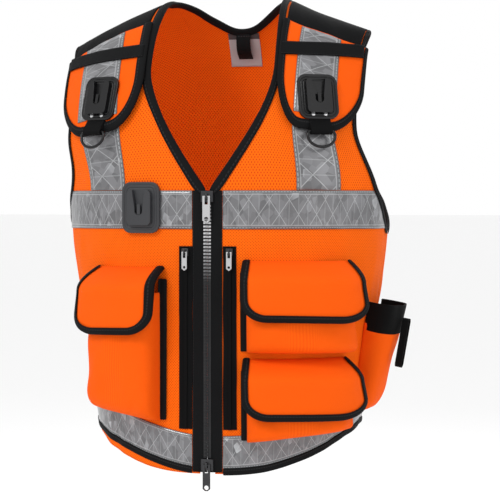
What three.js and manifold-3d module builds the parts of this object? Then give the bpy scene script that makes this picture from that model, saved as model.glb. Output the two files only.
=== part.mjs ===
import * as THREE from "three";
import { mergeVertices } from "three/addons/utils/BufferGeometryUtils.js";
import Module from "manifold-3d";

// Zip-front high visibility vest, as it hangs on a body. Millimetres, +Z up, front towards -Y,
// the wearer's left towards +X. The origin is on the body's axis at the height of the front hem.

// ---- the body the vest hangs on ----
const HEM_HALF_WIDTH = 156;
const CHEST_HALF_WIDTH = 195;
const HALF_DEPTH = 130;
const SQUARENESS = 2.25;
const CHEST_TOP = 332;
const SHOULDER_ROUND = 2.2;
const NECK_HEIGHT = 563;
const NECK_HALF_WIDTH = 70;
const SHOULDER_DROP = { right: 0.48, left: 0.36 };
const RIDGE_Y = 8;
const SHOULDER_RUN = 230;
const LEAN = { reach: 12, from: 60, to: 130, rise: 50 };

// ---- the surface grid that every sewn layer shares ----
const COLUMN = THREE.MathUtils.degToRad(10);
const LOWER_ROWS = 3;
const UPPER_ROWS = 8;

// ---- layers, as distances out from the body ----
const GAP = 0.35;
const PANEL = 2;
const TAPE = 0.8;
const WEB = 1.4;
const ON_PANEL = PANEL + GAP;
const ON_TAPE = ON_PANEL + TAPE + GAP;
const BINDING = 1.8;
const FLAP_LIFT = ON_PANEL + BINDING + GAP;
const FLAP = 2;
const ON_FLAP = FLAP_LIFT + FLAP + GAP;
const ON_FLAP_TAPE = ON_FLAP + TAPE + GAP;
const DOCK_GAP = 0.15;

// ---- outline of the panels ----
const HEM_RISE = 48;
const HEM_CURVE = { right: 1.6, left: 2.8 };
const HEM_BINDING = 6;
const HEM_TAPE = 38;
const BINDING_WIDTH = 9;
const V_HALF_WIDTH = 4;
const NECK_BULGE = 76;
const NECK_WIDEST = 0.42;
const BACK_NECK_DROP = 78;
const ARMHOLE_BOTTOM = 284;
const SHOULDER_END = 183;
const ARMHOLE_WAIST = 174;
const BACK_WAIST = 145;
const SEAM_GAP = THREE.MathUtils.degToRad(0.06);
const YOKE_FRONT = 76;
const YOKE_BACK = 46;

// ---- tape ----
const CHEST_TAPE_WIDTH = 45;
const CHEST_TAPE_TOP = CHEST_TOP - 1;
const CHEST_TAPE_LOW = CHEST_TAPE_TOP - CHEST_TAPE_WIDTH;
const BRACE_INNER = 102;
const BRACE_WIDTH = 48;
const BRACE_LEAN = 6;
const BACK_BRACE_INNER = 76;
const BACK_BRACE_LEAN = 32;

// ---- shoulder flaps ----
const FLAP_INNER = 80;
const FLAP_OUTER = 182;
const FLAP_OUTER_LOW = 174;
const FLAP_START = YOKE_FRONT + 2;
const FLAP_LENGTH = 186;
const FLAP_CORNER = 44;
const FLAP_TIP = 0.32;
const CROSS_STRAP = { inner: 502, outer: 501, width: 15 };

// ---- main zip ----
const ZIP_TAPE_OUTER = 17.6;
const TOOTH_PITCH = 4;
const TOOTH_REACH = 1.6;
const TOOTH_WIDTH = 1.6;
const BEAD_INNER = 2;
const BEAD_OUTER = 4.4;
const CHAIN_GAP = 0.7;
const ZIP_TAPE_INNER = BEAD_OUTER + CHAIN_GAP;
const CHAIN_BACK = 1.4;
const CHAIN_FRONT = 3.8;
const CHAIN_LOW = 19;
const CHAIN_TEETH = 74;
const MAIN_PULL = { width: 9, length: 31, thick: 1.4 };
const MAIN_SLIDER = { width: 15, length: 13, plate: 2.2, lug: 2.4, z: 324, pull: MAIN_PULL };
const LOWER_SLIDER = { ...MAIN_SLIDER, z: 11 };
const SLIDER_GAP = 0.77;

// ---- chest zips either side of the placket ----
const SIDE_ZIP_INNER = 18.2;
const SIDE_ZIP_OUTER = 34;
const SIDE_ZIP_LOW = 52;
const SIDE_ZIP_HIGH = 266;
const COIL_WIDTH = 3.6;
const COIL_HIGH = 1.3;
const SIDE_PULL = { width: 6.4, length: 22, thick: 1.2 };
const SIDE_SLIDER = { width: 8, length: 9, plate: 1.4, lug: 1.8, z: 259, pull: SIDE_PULL };

// ---- pockets: inner and outer edge from the centre, bottom seam and its rise to the side, top seam ----
const CLOTH = 1.6;
const BELLOWS = { side: -1, inner: 56, outer: 134, low: 60, lift: 14, top: 240 };
const UPPER = { side: 1, inner: 46, outer: 154, low: 142, lift: 0, top: 248 };
const LOWER = { side: 1, inner: 46, outer: 146, low: 38, lift: 12, top: 134 };
const POCKETS = {
  bellows_pocket: { ...BELLOWS, depth: 42, fold: 26, drop: 74, on: ON_TAPE },
  upper_pocket: { ...UPPER, depth: 36, fold: 24, drop: 66, on: ON_PANEL },
  lower_pocket: { ...LOWER, depth: 36, fold: 24, drop: 66, on: ON_TAPE },
};
const FLAP_SIDE = 3;
const POCKET_FLAP_CORNER = 24;

// ---- side pouch ----
const POUCH = { from: 72, to: 96, low: 66, top: 200, depth: 40, taper: 3 };
const ELASTIC = { width: 12, length: 60, band: 1.4, depth: 8 };

// ---- docks ----
const DOCK_PAD = { width: 49, height: 60, thick: 3.5, corner: 11 };
const SHOULDER_PAD = { ...DOCK_PAD, height: 54 };
const DOCK_PLATE = { width: 31, height: 41, thick: 5, corner: 5 };
const DOCK_SLOT = { mouth: 17, seat: 5.4, drop: 24 };
const CATCH = { width: 4, length: 12, thick: 2 };
const CHEST_DOCK = { x: -80, z: 311 };
const SHOULDER_DOCK = { left: 132, right: 122, z: 438 };

// ---- webbing tabs and D-rings ----
const TAB = { width: 26, thick: 1.6, drop: 15 };
const RING = { width: 37, height: 22, wire: 3.2, corner: 4 };

// ---- inside the back neck ----
const LABEL = { half: 20, height: 42, thick: 0.5 };
const HANGER = { half: 9, height: 33, thick: 1.2, bulge: 9 };

const wasm = await Module();
wasm.setup();
const vest = new THREE.Group();
const MATERIALS = {
  orange: { color: 0xff6a1a, roughness: 0.85, metalness: 0 },
  mesh: { color: 0xf45a08, roughness: 0.9, metalness: 0 },
  black: { color: 0x16181a, roughness: 0.8, metalness: 0 },
  plastic: { color: 0x121314, roughness: 0.4, metalness: 0 },
  dock: { color: 0x55565a, roughness: 0.5, metalness: 0 },
  tape: { color: 0xb4b8ba, roughness: 0.25, metalness: 0.2 },
  metal: { color: 0xc8cacc, roughness: 0.3, metalness: 1 },
  label: { color: 0xc9cbca, roughness: 0.9, metalness: 0 },
};

function addPart(name, geometry, look) {
  const material = new THREE.MeshStandardMaterial(MATERIALS[look]);
  const part = new THREE.Mesh(geometry, material);
  part.name = name;
  vest.add(part);
  return part;
}

// ---- the body surface: angle round the body and a height that runs up to the shoulder line ----
// Above the chest the outer cloth leans a little to the wearer's right.
const RIDGE = CHEST_TOP + SHOULDER_RUN;
const smooth = (t) => t * t * (3 - 2 * t);

// the part of the way from one value to another, kept within 0 and 1
const shareOf = (value, from, to) => Math.min(1, Math.max(0, (value - from) / (to - from)));

function halfWidth(height) {
  const share = Math.min(1, Math.max(0, height / CHEST_TOP));
  return HEM_HALF_WIDTH + (CHEST_HALF_WIDTH - HEM_HALF_WIDTH) * smooth(share);
}

function ridgeHeight(x) {
  const drop = x < 0 ? SHOULDER_DROP.right : SHOULDER_DROP.left;
  return NECK_HEIGHT - drop * Math.max(0, Math.abs(x) - NECK_HALF_WIDTH);
}

function bodyPoint(angle, height) {
  if (height > RIDGE) {
    return bodyPoint(Math.PI - angle, 2 * RIDGE - height);
  }
  const across = Math.sin(angle);
  const x = halfWidth(height) * across;
  const inFront = Math.max(0, 1 - Math.abs(across) ** SQUARENESS) ** (1 / SQUARENESS);
  const y = -HALF_DEPTH * Math.sign(Math.cos(angle)) * inFront;
  if (height <= CHEST_TOP) {
    return new THREE.Vector3(x, y, height);
  }
  const leftBy = smooth(shareOf(Math.abs(x), LEAN.from, LEAN.to)) * LEAN.reach;
  const leaning = x - leftBy * smooth(shareOf(height, CHEST_TOP, CHEST_TOP + LEAN.rise));
  const turn = ((height - CHEST_TOP) / SHOULDER_RUN) * (Math.PI / 2);
  const inward = Math.max(0, Math.cos(turn)) ** (2 / SHOULDER_ROUND);
  const upward = Math.sin(turn) ** (2 / SHOULDER_ROUND);
  const rise = ridgeHeight(x) - CHEST_TOP;
  return new THREE.Vector3(leaning, RIDGE_Y + (y - RIDGE_Y) * inward, CHEST_TOP + rise * upward);
}

function bodyNormal(angle, height) {
  const step = 0.004;
  const rise = 1.5;
  const across = bodyPoint(angle + step, height).sub(bodyPoint(angle - step, height));
  const up = bodyPoint(angle, height + rise).sub(bodyPoint(angle, height - rise));
  return across.cross(up).normalize();
}

const angleAt = (x, height) => Math.asin(Math.max(-1, Math.min(1, x / halfWidth(height))));

// the surface address [angle, height] of a front point given by its x and its z
function front(x, z) {
  if (z <= CHEST_TOP) {
    return [angleAt(x, z), z];
  }
  const share = Math.min(1, (z - CHEST_TOP) / (ridgeHeight(x) - CHEST_TOP));
  const turn = Math.asin(share ** (SHOULDER_ROUND / 2));
  return [angleAt(x, z), CHEST_TOP + (turn / (Math.PI / 2)) * SHOULDER_RUN];
}

// the address of a point a distance down from the shoulder line, forwards or (negative) backwards
const below = (x, down) => [angleAt(x, CHEST_TOP), RIDGE - down];

// ---- the shared grid ----
const rowHeights = [];
for (let row = -1; row <= LOWER_ROWS; row += 1) {
  rowHeights.push((row * ARMHOLE_BOTTOM) / LOWER_ROWS);
}
for (let row = 0; row <= UPPER_ROWS; row += 1) {
  rowHeights.push(CHEST_TOP + (row * SHOULDER_RUN) / UPPER_ROWS);
}
const corners = new Map();

function gridCorner(column, row) {
  const key = `${column} ${row}`;
  if (!corners.has(key)) {
    const angle = column * COLUMN;
    const height = rowHeights[row];
    const point = bodyPoint(angle, height);
    corners.set(key, { at: [angle, height], point, normal: bodyNormal(angle, height) });
  }
  return corners.get(key);
}

function clipByLine(polygon, a, b, limit) {
  const kept = [];
  polygon.forEach((point, index) => {
    const next = polygon[(index + 1) % polygon.length];
    const here = a * point[0] + b * point[1] - limit;
    const there = a * next[0] + b * next[1] - limit;
    if (here <= 0) {
      kept.push(point);
    }
    if ((here < 0 && there > 0) || (here > 0 && there < 0)) {
      const share = here / (here - there);
      kept.push([point[0] + (next[0] - point[0]) * share, point[1] + (next[1] - point[1]) * share]);
    }
  });
  return kept;
}

function signedArea(polygon) {
  return polygon.reduce((sum, point, index) => {
    const next = polygon[(index + 1) % polygon.length];
    return sum + (point[0] * next[1] - next[0] * point[1]) / 2;
  }, 0);
}

function clipByTriangle(polygon, triangle) {
  let piece = polygon;
  triangle.forEach((corner, index) => {
    const next = triangle[(index + 1) % 3];
    const a = next[1] - corner[1];
    const b = corner[0] - next[0];
    piece = piece.length ? clipByLine(piece, a, b, a * corner[0] + b * corner[1]) : piece;
  });
  return piece;
}

// the point and normal of an address inside one flat triangle of the grid
function onTriangle(at, triangle) {
  const [p, q, r] = triangle.map((corner) => corner.at);
  const whole = signedArea([p, q, r]);
  const opposite = [[at, q, r], [p, at, r], [p, q, at]];
  const shares = opposite.map((corners) => signedArea(corners) / whole);
  const point = new THREE.Vector3();
  const normal = new THREE.Vector3();
  triangle.forEach((corner, index) => {
    point.addScaledVector(corner.point, shares[index]);
    normal.addScaledVector(corner.normal, shares[index]);
  });
  return { point, normal };
}

// A sewn layer: convex cells on the surface, raised to lie between two distances out from the body
function layer(cells, inner, outer) {
  const distance = (side, at) => (typeof side === "function" ? side(at) : side);
  const vertices = new Map();
  const basePoints = [];
  const innerPoints = [];
  const outerPoints = [];
  const rings = [];

  function vertex(at, triangle) {
    const { point, normal } = onTriangle(at, triangle);
    const key = point.toArray().map((value) => Math.round(value * 1000)).join(" ");
    if (!vertices.has(key)) {
      vertices.set(key, basePoints.length);
      basePoints.push(point);
      innerPoints.push(point.clone().addScaledVector(normal, distance(inner, at)));
      outerPoints.push(point.clone().addScaledVector(normal, distance(outer, at)));
    }
    return vertices.get(key);
  }

  function addPiece(polygon, triangle) {
    const piece = clipByTriangle(polygon, triangle.map((corner) => corner.at));
    if (piece.length < 3 || Math.abs(signedArea(piece)) < 1e-6) {
      return;
    }
    const ids = piece.map((at) => vertex(at, triangle));
    const ring = ids.filter((id, index) => id !== ids.at(index - 1));
    if (ring.length > 2) {
      rings.push(ring);
    }
  }

  function addCell(polygon) {
    const columns = polygon.map((at) => at[0] / COLUMN);
    const heights = polygon.map((at) => at[1]);
    for (let column = Math.floor(Math.min(...columns)); column < Math.max(...columns); column += 1) {
      for (let row = 0; row < rowHeights.length - 1; row += 1) {
        if (rowHeights[row + 1] > Math.min(...heights) && rowHeights[row] < Math.max(...heights)) {
          const a = gridCorner(column, row);
          const b = gridCorner(column + 1, row);
          const c = gridCorner(column + 1, row + 1);
          const d = gridCorner(column, row + 1);
          addPiece(polygon, [a, b, c]);
          addPiece(polygon, [a, c, d]);
        }
      }
    }
  }

  cells.forEach((cell) => {
    const facing = signedArea(cell) < 0 ? [...cell].reverse() : cell;
    const lower = clipByLine(facing, 0, 1, RIDGE);
    const upper = clipByLine(facing, 0, -1, -RIDGE);
    if (lower.length > 2) {
      addCell(lower);
    }
    if (upper.length > 2) {
      addCell(upper.map(([angle, height]) => [Math.PI - angle, 2 * RIDGE - height]));
    }
  });
  const faces = rings.flatMap((ring) => cutIntoTriangles(splitRing(ring, basePoints), basePoints));
  return closeLayer(innerPoints, outerPoints, faces);
}

// the ring with every other vertex that lies on one of its edges put in
function splitRing(ring, points) {
  const result = [];
  ring.forEach((from, index) => {
    const to = ring[(index + 1) % ring.length];
    const edge = points[to].clone().sub(points[from]);
    const length = edge.length();
    const along = [];
    points.forEach((point, id) => {
      const offset = point.clone().sub(points[from]);
      const share = offset.dot(edge) / (length * length);
      const away = offset.addScaledVector(edge, -share).length();
      if (share * length > 0.003 && (1 - share) * length > 0.003 && away < 0.003) {
        along.push({ id, share });
      }
    });
    along.sort((a, b) => a.share - b.share);
    result.push(from, ...along.map(({ id }) => id));
  });
  return result;
}

const triangleArea = (a, b, c) => b.clone().sub(a).cross(c.clone().sub(a)).length() / 2;

// smallest corners first, so points in line on an edge never end up in a flat triangle
function cutIntoTriangles(ring, points) {
  const left = [...ring];
  const triangles = [];
  while (left.length > 3) {
    let best = { area: Infinity, index: 0 };
    left.forEach((id, index) => {
      const [before, after] = [left.at(index - 1), left[(index + 1) % left.length]];
      const area = triangleArea(points[before], points[id], points[after]);
      best = area > 1e-4 && area < best.area ? { area, index } : best;
    });
    const next = (best.index + 1) % left.length;
    triangles.push([left.at(best.index - 1), left[best.index], left[next]]);
    left.splice(best.index, 1);
  }
  triangles.push(left);
  return triangles;
}

// inner and outer skins joined by a wall along every edge that has a face on one side only
function closeLayer(innerPoints, outerPoints, faces) {
  const count = innerPoints.length;
  const edges = new Set();
  const sound = faces.filter(([a, b, c]) => a !== b && b !== c && c !== a);
  sound.forEach(([a, b, c]) => [[a, b], [b, c], [c, a]].forEach(([from, to]) => edges.add(`${from} ${to}`)));
  const indices = [];
  sound.forEach(([a, b, c]) => {
    indices.push(a + count, b + count, c + count);
    indices.push(c, b, a);
  });
  edges.forEach((edge) => {
    const [from, to] = edge.split(" ").map(Number);
    if (!edges.has(`${to} ${from}`)) {
      indices.push(from, to, to + count);
      indices.push(from, to + count, from + count);
    }
  });
  const positions = [...innerPoints, ...outerPoints].flatMap((point) => point.toArray());
  const geometry = new THREE.BufferGeometry();
  geometry.setAttribute("position", new THREE.Float32BufferAttribute(positions, 3));
  geometry.setIndex(indices);
  return geometry;
}

// cells between two lines of addresses with the same number of points
function ladder(first, second) {
  return first.slice(1).map((at, index) => [first[index], second[index], second[index + 1], at]);
}

function range(from, to, steps) {
  return Array.from({ length: steps + 1 }, (_, index) => from + ((to - from) * index) / steps);
}

const flipped = (cells, turn) => cells.map((cell) => cell.map(([angle, height]) => [turn - angle, height]));
const mirrored = (cells, side) => (side > 0 ? cells : flipped(cells, 0));
const onBack = (cells) => flipped(cells, Math.PI);

function between(low, high) {
  return [low, ...rowHeights.filter((height) => height > low + 2 && height < high - 2), high];
}

// ---- booleans ----
function toSolid(geometry) {
  const bare = geometry.clone();
  bare.deleteAttribute("normal");
  bare.deleteAttribute("uv");
  const merged = mergeVertices(bare, 1e-4);
  const vertProperties = new Float32Array(merged.attributes.position.array);
  const triVerts = new Uint32Array(merged.index.array);
  return new wasm.Manifold(new wasm.Mesh({ numProp: 3, vertProperties, triVerts }));
}

function toGeometry(solid) {
  const result = solid.getMesh();
  const geometry = new THREE.BufferGeometry();
  geometry.setAttribute("position", new THREE.BufferAttribute(new Float32Array(result.vertProperties), 3));
  geometry.setIndex(new THREE.BufferAttribute(new Uint32Array(result.triVerts), 1));
  return geometry;
}

const cut = (body, tool) => toGeometry(toSolid(body).subtract(toSolid(tool)));

// turns for outlines drawn [up the cloth, out] and [across, out], before they are placed
const ACROSS = new THREE.Vector3(1, 0, 0);
const UP = new THREE.Vector3(0, 1, 0);
const OUT = new THREE.Vector3(0, 0, 1);
const SIDE_VIEW = new THREE.Matrix4().makeBasis(UP, OUT, ACROSS);
const ACROSS_CLOTH = new THREE.Matrix4().makeBasis(ACROSS, OUT, UP.clone().negate());

// ---- frames for rigid parts: x to the wearer's left, y up the cloth, z out ----
function frameOn(at, distance) {
  const normal = bodyNormal(...at);
  const origin = bodyPoint(...at).addScaledVector(normal, distance);
  const right = new THREE.Vector3().crossVectors(new THREE.Vector3(0, 0, 1), normal).normalize();
  const up = new THREE.Vector3().crossVectors(normal, right);
  return new THREE.Matrix4().makeBasis(right, up, normal).setPosition(origin);
}

const placed = (geometry, frame) => geometry.clone().applyMatrix4(frame);

function roundedOutline(width, height, corner) {
  const outline = new THREE.Shape();
  const [x, y] = [width / 2, height / 2];
  outline.moveTo(corner - x, -y);
  outline.lineTo(x - corner, -y);
  outline.absarc(x - corner, corner - y, corner, -Math.PI / 2, 0);
  outline.absarc(x - corner, y - corner, corner, 0, Math.PI / 2);
  outline.absarc(corner - x, y - corner, corner, Math.PI / 2, Math.PI);
  outline.absarc(corner - x, corner - y, corner, Math.PI, 1.5 * Math.PI);
  outline.closePath();
  return outline;
}

function plate(outline, depth, from) {
  const geometry = new THREE.ExtrudeGeometry(outline, { depth, bevelEnabled: false, curveSegments: 4 });
  return geometry.translate(0, 0, from);
}

// ---- outline curves ----
const SIDE_ANGLE = Math.PI / 2;

function hemHeight(angle) {
  const curve = Math.sin(angle) < 0 ? HEM_CURVE.right : HEM_CURVE.left;
  return HEM_RISE * Math.abs(Math.sin(angle)) ** curve;
}

// x of the neck edge at a share of the way from the V tip to the shoulder line
function neckX(share) {
  const spread = Math.sin(Math.min(1, share / NECK_WIDEST) * (Math.PI / 2)) ** 0.9;
  const pull = smooth(Math.max(0, (share - NECK_WIDEST) / (1 - NECK_WIDEST)));
  return V_HALF_WIDTH + (NECK_BULGE - V_HALF_WIDTH) * spread - (NECK_BULGE - NECK_HALF_WIDTH) * pull;
}

const V_ROW = CHEST_TOP + 14;
const neckHeights = [CHEST_TOP, V_ROW, ...range(CHEST_TOP, RIDGE, UPPER_ROWS).slice(1)];
const neckEdge = (inset) => neckHeights.map((height) => {
  return [angleAt(neckX((height - CHEST_TOP) / SHOULDER_RUN) + inset, CHEST_TOP), height];
});

// the armhole edge as [angle, height], from its lowest point up the front to the shoulder line
const armholeHeights = [ARMHOLE_BOTTOM, ARMHOLE_BOTTOM + 14, ...neckHeights];
const armholeEdge = (inset, narrowest = ARMHOLE_WAIST) => armholeHeights.map((height) => {
  const share = (height - ARMHOLE_BOTTOM) / (RIDGE - ARMHOLE_BOTTOM);
  const waist = angleAt(narrowest - inset, CHEST_TOP);
  const end = angleAt(SHOULDER_END - inset, CHEST_TOP);
  const low = SIDE_ANGLE + (waist - SIDE_ANGLE) * Math.sin(Math.min(1, share / 0.4) * (Math.PI / 2));
  const drop = inset * (1 - Math.min(1, share / 0.1));
  return [low + (end - waist) * smooth(Math.max(0, (share - 0.4) / 0.6)), height - drop];
});

function lerpEdge(edge, height) {
  const index = edge.findIndex((at, i) => i > 0 && at[1] >= height - 1e-6);
  const [lower, upper] = [edge[index - 1], edge[index]];
  return lower[0] + ((upper[0] - lower[0]) * (height - lower[1])) / (upper[1] - lower[1]);
}

// ---- panels ----
const CENTRE_EDGE = 9;
const NECK = neckEdge(0);
const NECK_INSIDE = neckEdge(BINDING_WIDTH);
const ARMHOLE = armholeEdge(0);
const ARMHOLE_INSIDE = armholeEdge(BINDING_WIDTH);
const BACK_ARMHOLE = armholeEdge(0, BACK_WAIST);
const BACK_ARMHOLE_INSIDE = armholeEdge(BINDING_WIDTH, BACK_WAIST);

function columnAngles(from, to) {
  const whole = range(0, 36, 36).map((column) => column * COLUMN);
  return [from, ...whole.filter((angle) => angle > from + 0.01 && angle < to - 0.01), to];
}

// cells of a band round the body between two heights, each a function of the angle
function girdle(from, to, low, high) {
  const angles = columnAngles(from, to);
  return ladder(angles.map((angle) => [angle, low(angle)]), angles.map((angle) => [angle, high(angle)]));
}

const level = (height) => () => height;

function frontPanelCells() {
  const centre = angleAt(CENTRE_EDGE, ARMHOLE_BOTTOM);
  const neck = (height) => (height <= CHEST_TOP ? centre : Math.max(centre, lerpEdge(NECK, height)));
  const lower = girdle(centre, SIDE_ANGLE - SEAM_GAP, hemHeight, level(ARMHOLE_BOTTOM));
  const inner = armholeHeights.map((height) => [neck(height), height]);
  const outer = ARMHOLE.map(([angle, height]) => [Math.min(angle, SIDE_ANGLE - SEAM_GAP), height]);
  return [...lower, ...ladder(inner, outer)];
}

const neckEnd = NECK.at(-1)[0];
const backNeck = (angle) => RIDGE - BACK_NECK_DROP * Math.cos(((angle - Math.PI) / neckEnd) * (Math.PI / 2));

function backPanelCells() {
  const lower = girdle(SIDE_ANGLE + SEAM_GAP, 3 * SIDE_ANGLE - SEAM_GAP, hemHeight, level(ARMHOLE_BOTTOM));
  const low = RIDGE - BACK_NECK_DROP - 4;
  const heights = [...armholeHeights.filter((height) => height < low - 1), low, RIDGE - 0.1];
  const edge = (side) => heights.map((height) => {
    const angle = Math.max(Math.PI - lerpEdge(BACK_ARMHOLE, height), SIDE_ANGLE + SEAM_GAP);
    return [side > 0 ? angle : 2 * Math.PI - angle, height];
  });
  const line = (side) => heights.map((height) => [Math.PI - side * neckEnd, height]);
  const count = heights.length - 1;
  const middle = ladder(line(1).slice(0, count), line(-1).slice(0, count));
  const angles = range(Math.PI - neckEnd, Math.PI + neckEnd, 8);
  const neckTop = (angle) => Math.min(RIDGE - 0.1, backNeck(angle));
  const neck = ladder(angles.map((a) => [a, low]), angles.map((a) => [a, neckTop(a)]));
  return [...lower, ...ladder(edge(1), line(1)), ...ladder(line(-1), edge(-1)), ...middle, ...neck];
}

function addPanels() {
  addPart("front_panel_left", layer(frontPanelCells(), 0, PANEL), "mesh");
  addPart("front_panel_right", layer(mirrored(frontPanelCells(), -1), 0, PANEL), "mesh");
  addPart("back_panel", layer(backPanelCells(), 0, PANEL), "mesh");
}

// ---- bindings ----
function addBindings() {
  const top = ON_PANEL + BINDING;
  const across = range(neckEnd, -neckEnd, 8);
  const backEdge = across.map((a) => [a, 2 * RIDGE - backNeck(Math.PI - a)]);
  const wider = 1 + BINDING_WIDTH / NECK_HALF_WIDTH;
  const deeper = (a) => BINDING_WIDTH * Math.cos((a / neckEnd) * (Math.PI / 2));
  const backInside = backEdge.map(([a, height]) => [a * wider, height + deeper(a)]);
  const otherSide = (edge) => edge.map(([a, height]) => [-a, height]).reverse();
  const neckLine = (edge, back) => [...edge, ...back.slice(1, -1), ...otherSide(edge)];
  const neckCells = ladder(neckLine(NECK, backEdge), neckLine(NECK_INSIDE, backInside));
  addPart("neck_binding", layer(neckCells, ON_PANEL, top), "black");
  const backArmhole = onBack(ladder(BACK_ARMHOLE, BACK_ARMHOLE_INSIDE));
  const ring = [...ladder(ARMHOLE, ARMHOLE_INSIDE), ...backArmhole];
  addPart("armhole_binding_left", layer(ring, ON_PANEL, top), "black");
  addPart("armhole_binding_right", layer(mirrored(ring, -1), ON_PANEL, top), "black");
  const start = angleAt(ZIP_TAPE_OUTER + 0.6, 0);
  const hem = girdle(start, 2 * Math.PI - start, hemHeight, (angle) => hemHeight(angle) + HEM_BINDING);
  addPart("hem_binding", layer(hem, ON_PANEL, top), "black");
}

// ---- reflective tape ----
function tapeCells(inner, outer, heights) {
  const first = heights.map((height) => [inner(height), height]);
  const second = heights.map((height) => [outer(height), height]);
  return ladder(first, second);
}

function addTapes() {
  const edgeGap = 0.5;
  const top = ON_PANEL + TAPE;
  const kinks = armholeHeights.filter((h) => h > CHEST_TAPE_LOW + 2 && h < CHEST_TAPE_TOP - 2);
  const heights = [CHEST_TAPE_LOW, ...kinks, CHEST_TAPE_TOP];
  const armhole = armholeEdge(BINDING_WIDTH + edgeGap);
  const sideEnd = SIDE_ANGLE - 2 * SEAM_GAP;
  const backArmhole = armholeEdge(BINDING_WIDTH + edgeGap, BACK_WAIST);
  const reach = (edge) => (height) => Math.min(sideEnd, lerpEdge(edge, height));
  const start = (height) => angleAt(ZIP_TAPE_OUTER + 0.6, height);
  const chest = tapeCells(start, reach(armhole), heights);
  addPart("chest_tape_left", layer(chest, ON_PANEL, top), "tape");
  addPart("chest_tape_right", layer(mirrored(chest, -1), ON_PANEL, top), "tape");
  const backEnd = (side) => (height) => Math.PI + side * reach(backArmhole)(height);
  const back = tapeCells(backEnd(-1), backEnd(1), heights);
  addPart("chest_tape_back", layer(back, ON_PANEL, top), "tape");
  const low = (angle) => hemHeight(angle) + HEM_BINDING + edgeGap;
  const hem = girdle(start(0), 2 * Math.PI - start(0), low, (angle) => low(angle) + HEM_TAPE);
  addPart("hem_tape", layer(hem, ON_PANEL, top), "tape");
  const braceLow = CHEST_TAPE_TOP + edgeGap;
  function braceCells(inner, lean, high) {
    const x = (height) => inner + lean * shareOf(height, braceLow, RIDGE);
    const near = (height) => angleAt(x(height), CHEST_TOP);
    const far = (height) => angleAt(x(height) + BRACE_WIDTH, CHEST_TOP);
    return tapeCells(near, far, between(braceLow, high));
  }
  const frontBrace = braceCells(BRACE_INNER, BRACE_LEAN, RIDGE - YOKE_FRONT - edgeGap);
  const backBrace = onBack(braceCells(BACK_BRACE_INNER, BACK_BRACE_LEAN, RIDGE - YOKE_BACK - edgeGap));
  for (const [side, hand] of [[1, "left"], [-1, "right"]]) {
    addPart(`front_brace_tape_${hand}`, layer(mirrored(frontBrace, side), ON_PANEL, top), "tape");
    addPart(`back_brace_tape_${hand}`, layer(mirrored(backBrace, side), ON_PANEL, top), "tape");
  }
}

// ---- shoulder yokes and flaps ----
function yokeCells() {
  const downs = [YOKE_FRONT, YOKE_FRONT / 2, 0, -YOKE_BACK / 2, -YOKE_BACK];
  const clear = 0.6;
  const neckSide = neckEdge(BINDING_WIDTH + clear);
  const armSide = armholeEdge(BINDING_WIDTH + clear);
  const backArmSide = armholeEdge(BINDING_WIDTH + clear, BACK_WAIST);
  const inner = downs.map((down) => [lerpEdge(neckSide, RIDGE - Math.max(0, down)), RIDGE - down]);
  const outer = downs.map((down) => {
    return [lerpEdge(down < 0 ? backArmSide : armSide, RIDGE - Math.abs(down)), RIDGE - down];
  });
  return ladder(inner, outer);
}

// how far a rounded end has opened: 0 at its tip, 1 once the corner is passed
const roundedEnd = (fromTip, corner) => Math.sqrt(1 - (1 - shareOf(fromTip, 0, corner)) ** 2);

function shoulderFlapCells() {
  const fromTip = [FLAP_LENGTH - FLAP_START, 88, 66, FLAP_CORNER, 27, 13, 5, 1, 0];
  const middle = (FLAP_INNER + FLAP_OUTER_LOW) / 2;
  const edge = (side) => fromTip.map((distance) => {
    const down = FLAP_LENGTH - distance;
    const outer = FLAP_OUTER + (FLAP_OUTER_LOW - FLAP_OUTER) * shareOf(down, FLAP_START, FLAP_LENGTH);
    const reach = side > 0 ? outer - middle : FLAP_INNER - middle;
    return below(middle + reach * (FLAP_TIP + (1 - FLAP_TIP) * roundedEnd(distance, FLAP_CORNER)), down);
  });
  return ladder(edge(-1), edge(1));
}

function crossStrapCells() {
  const { inner, outer, width } = CROSS_STRAP;
  const across = range(FLAP_INNER + 1, FLAP_OUTER - 5, 6);
  const top = (x) => inner + (outer - inner) * shareOf(x, FLAP_INNER, FLAP_OUTER);
  return ladder(across.map((x) => front(x, top(x) - width)), across.map((x) => front(x, top(x))));
}

function addShoulder(side, hand) {
  const yoke = mirrored(yokeCells(), side);
  addPart(`shoulder_yoke_${hand}`, layer(yoke, ON_PANEL, ON_PANEL + BINDING), "black");
  const flap = mirrored(shoulderFlapCells(), side);
  addPart(`shoulder_flap_${hand}`, layer(flap, FLAP_LIFT, FLAP_LIFT + FLAP), "orange");
  const downs = range(FLAP_START + 2, FLAP_LENGTH - 12, 4);
  const tapeX = (down) => BRACE_INNER + BRACE_LEAN * (1 - down / FLAP_LENGTH);
  const tapeInner = downs.map((down) => below(tapeX(down), down));
  const tapeOuter = downs.map((down) => below(tapeX(down) + BRACE_WIDTH, down));
  const flapTape = mirrored(ladder(tapeInner, tapeOuter), side);
  addPart(`flap_tape_${hand}`, layer(flapTape, ON_FLAP, ON_FLAP + TAPE), "tape");
  const strap = mirrored(crossStrapCells(), side);
  addPart(`flap_strap_${hand}`, layer(strap, ON_FLAP_TAPE, ON_FLAP_TAPE + WEB), "black");
  const dockAt = front(side * SHOULDER_DOCK[hand], SHOULDER_DOCK.z);
  const frame = frameOn(dockAt, ON_FLAP + TAPE + DOCK_GAP);
  addDock(`shoulder_dock_${hand}`, SHOULDER_PAD, frame, "plastic");
  addRing(hand, frame);
}

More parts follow.
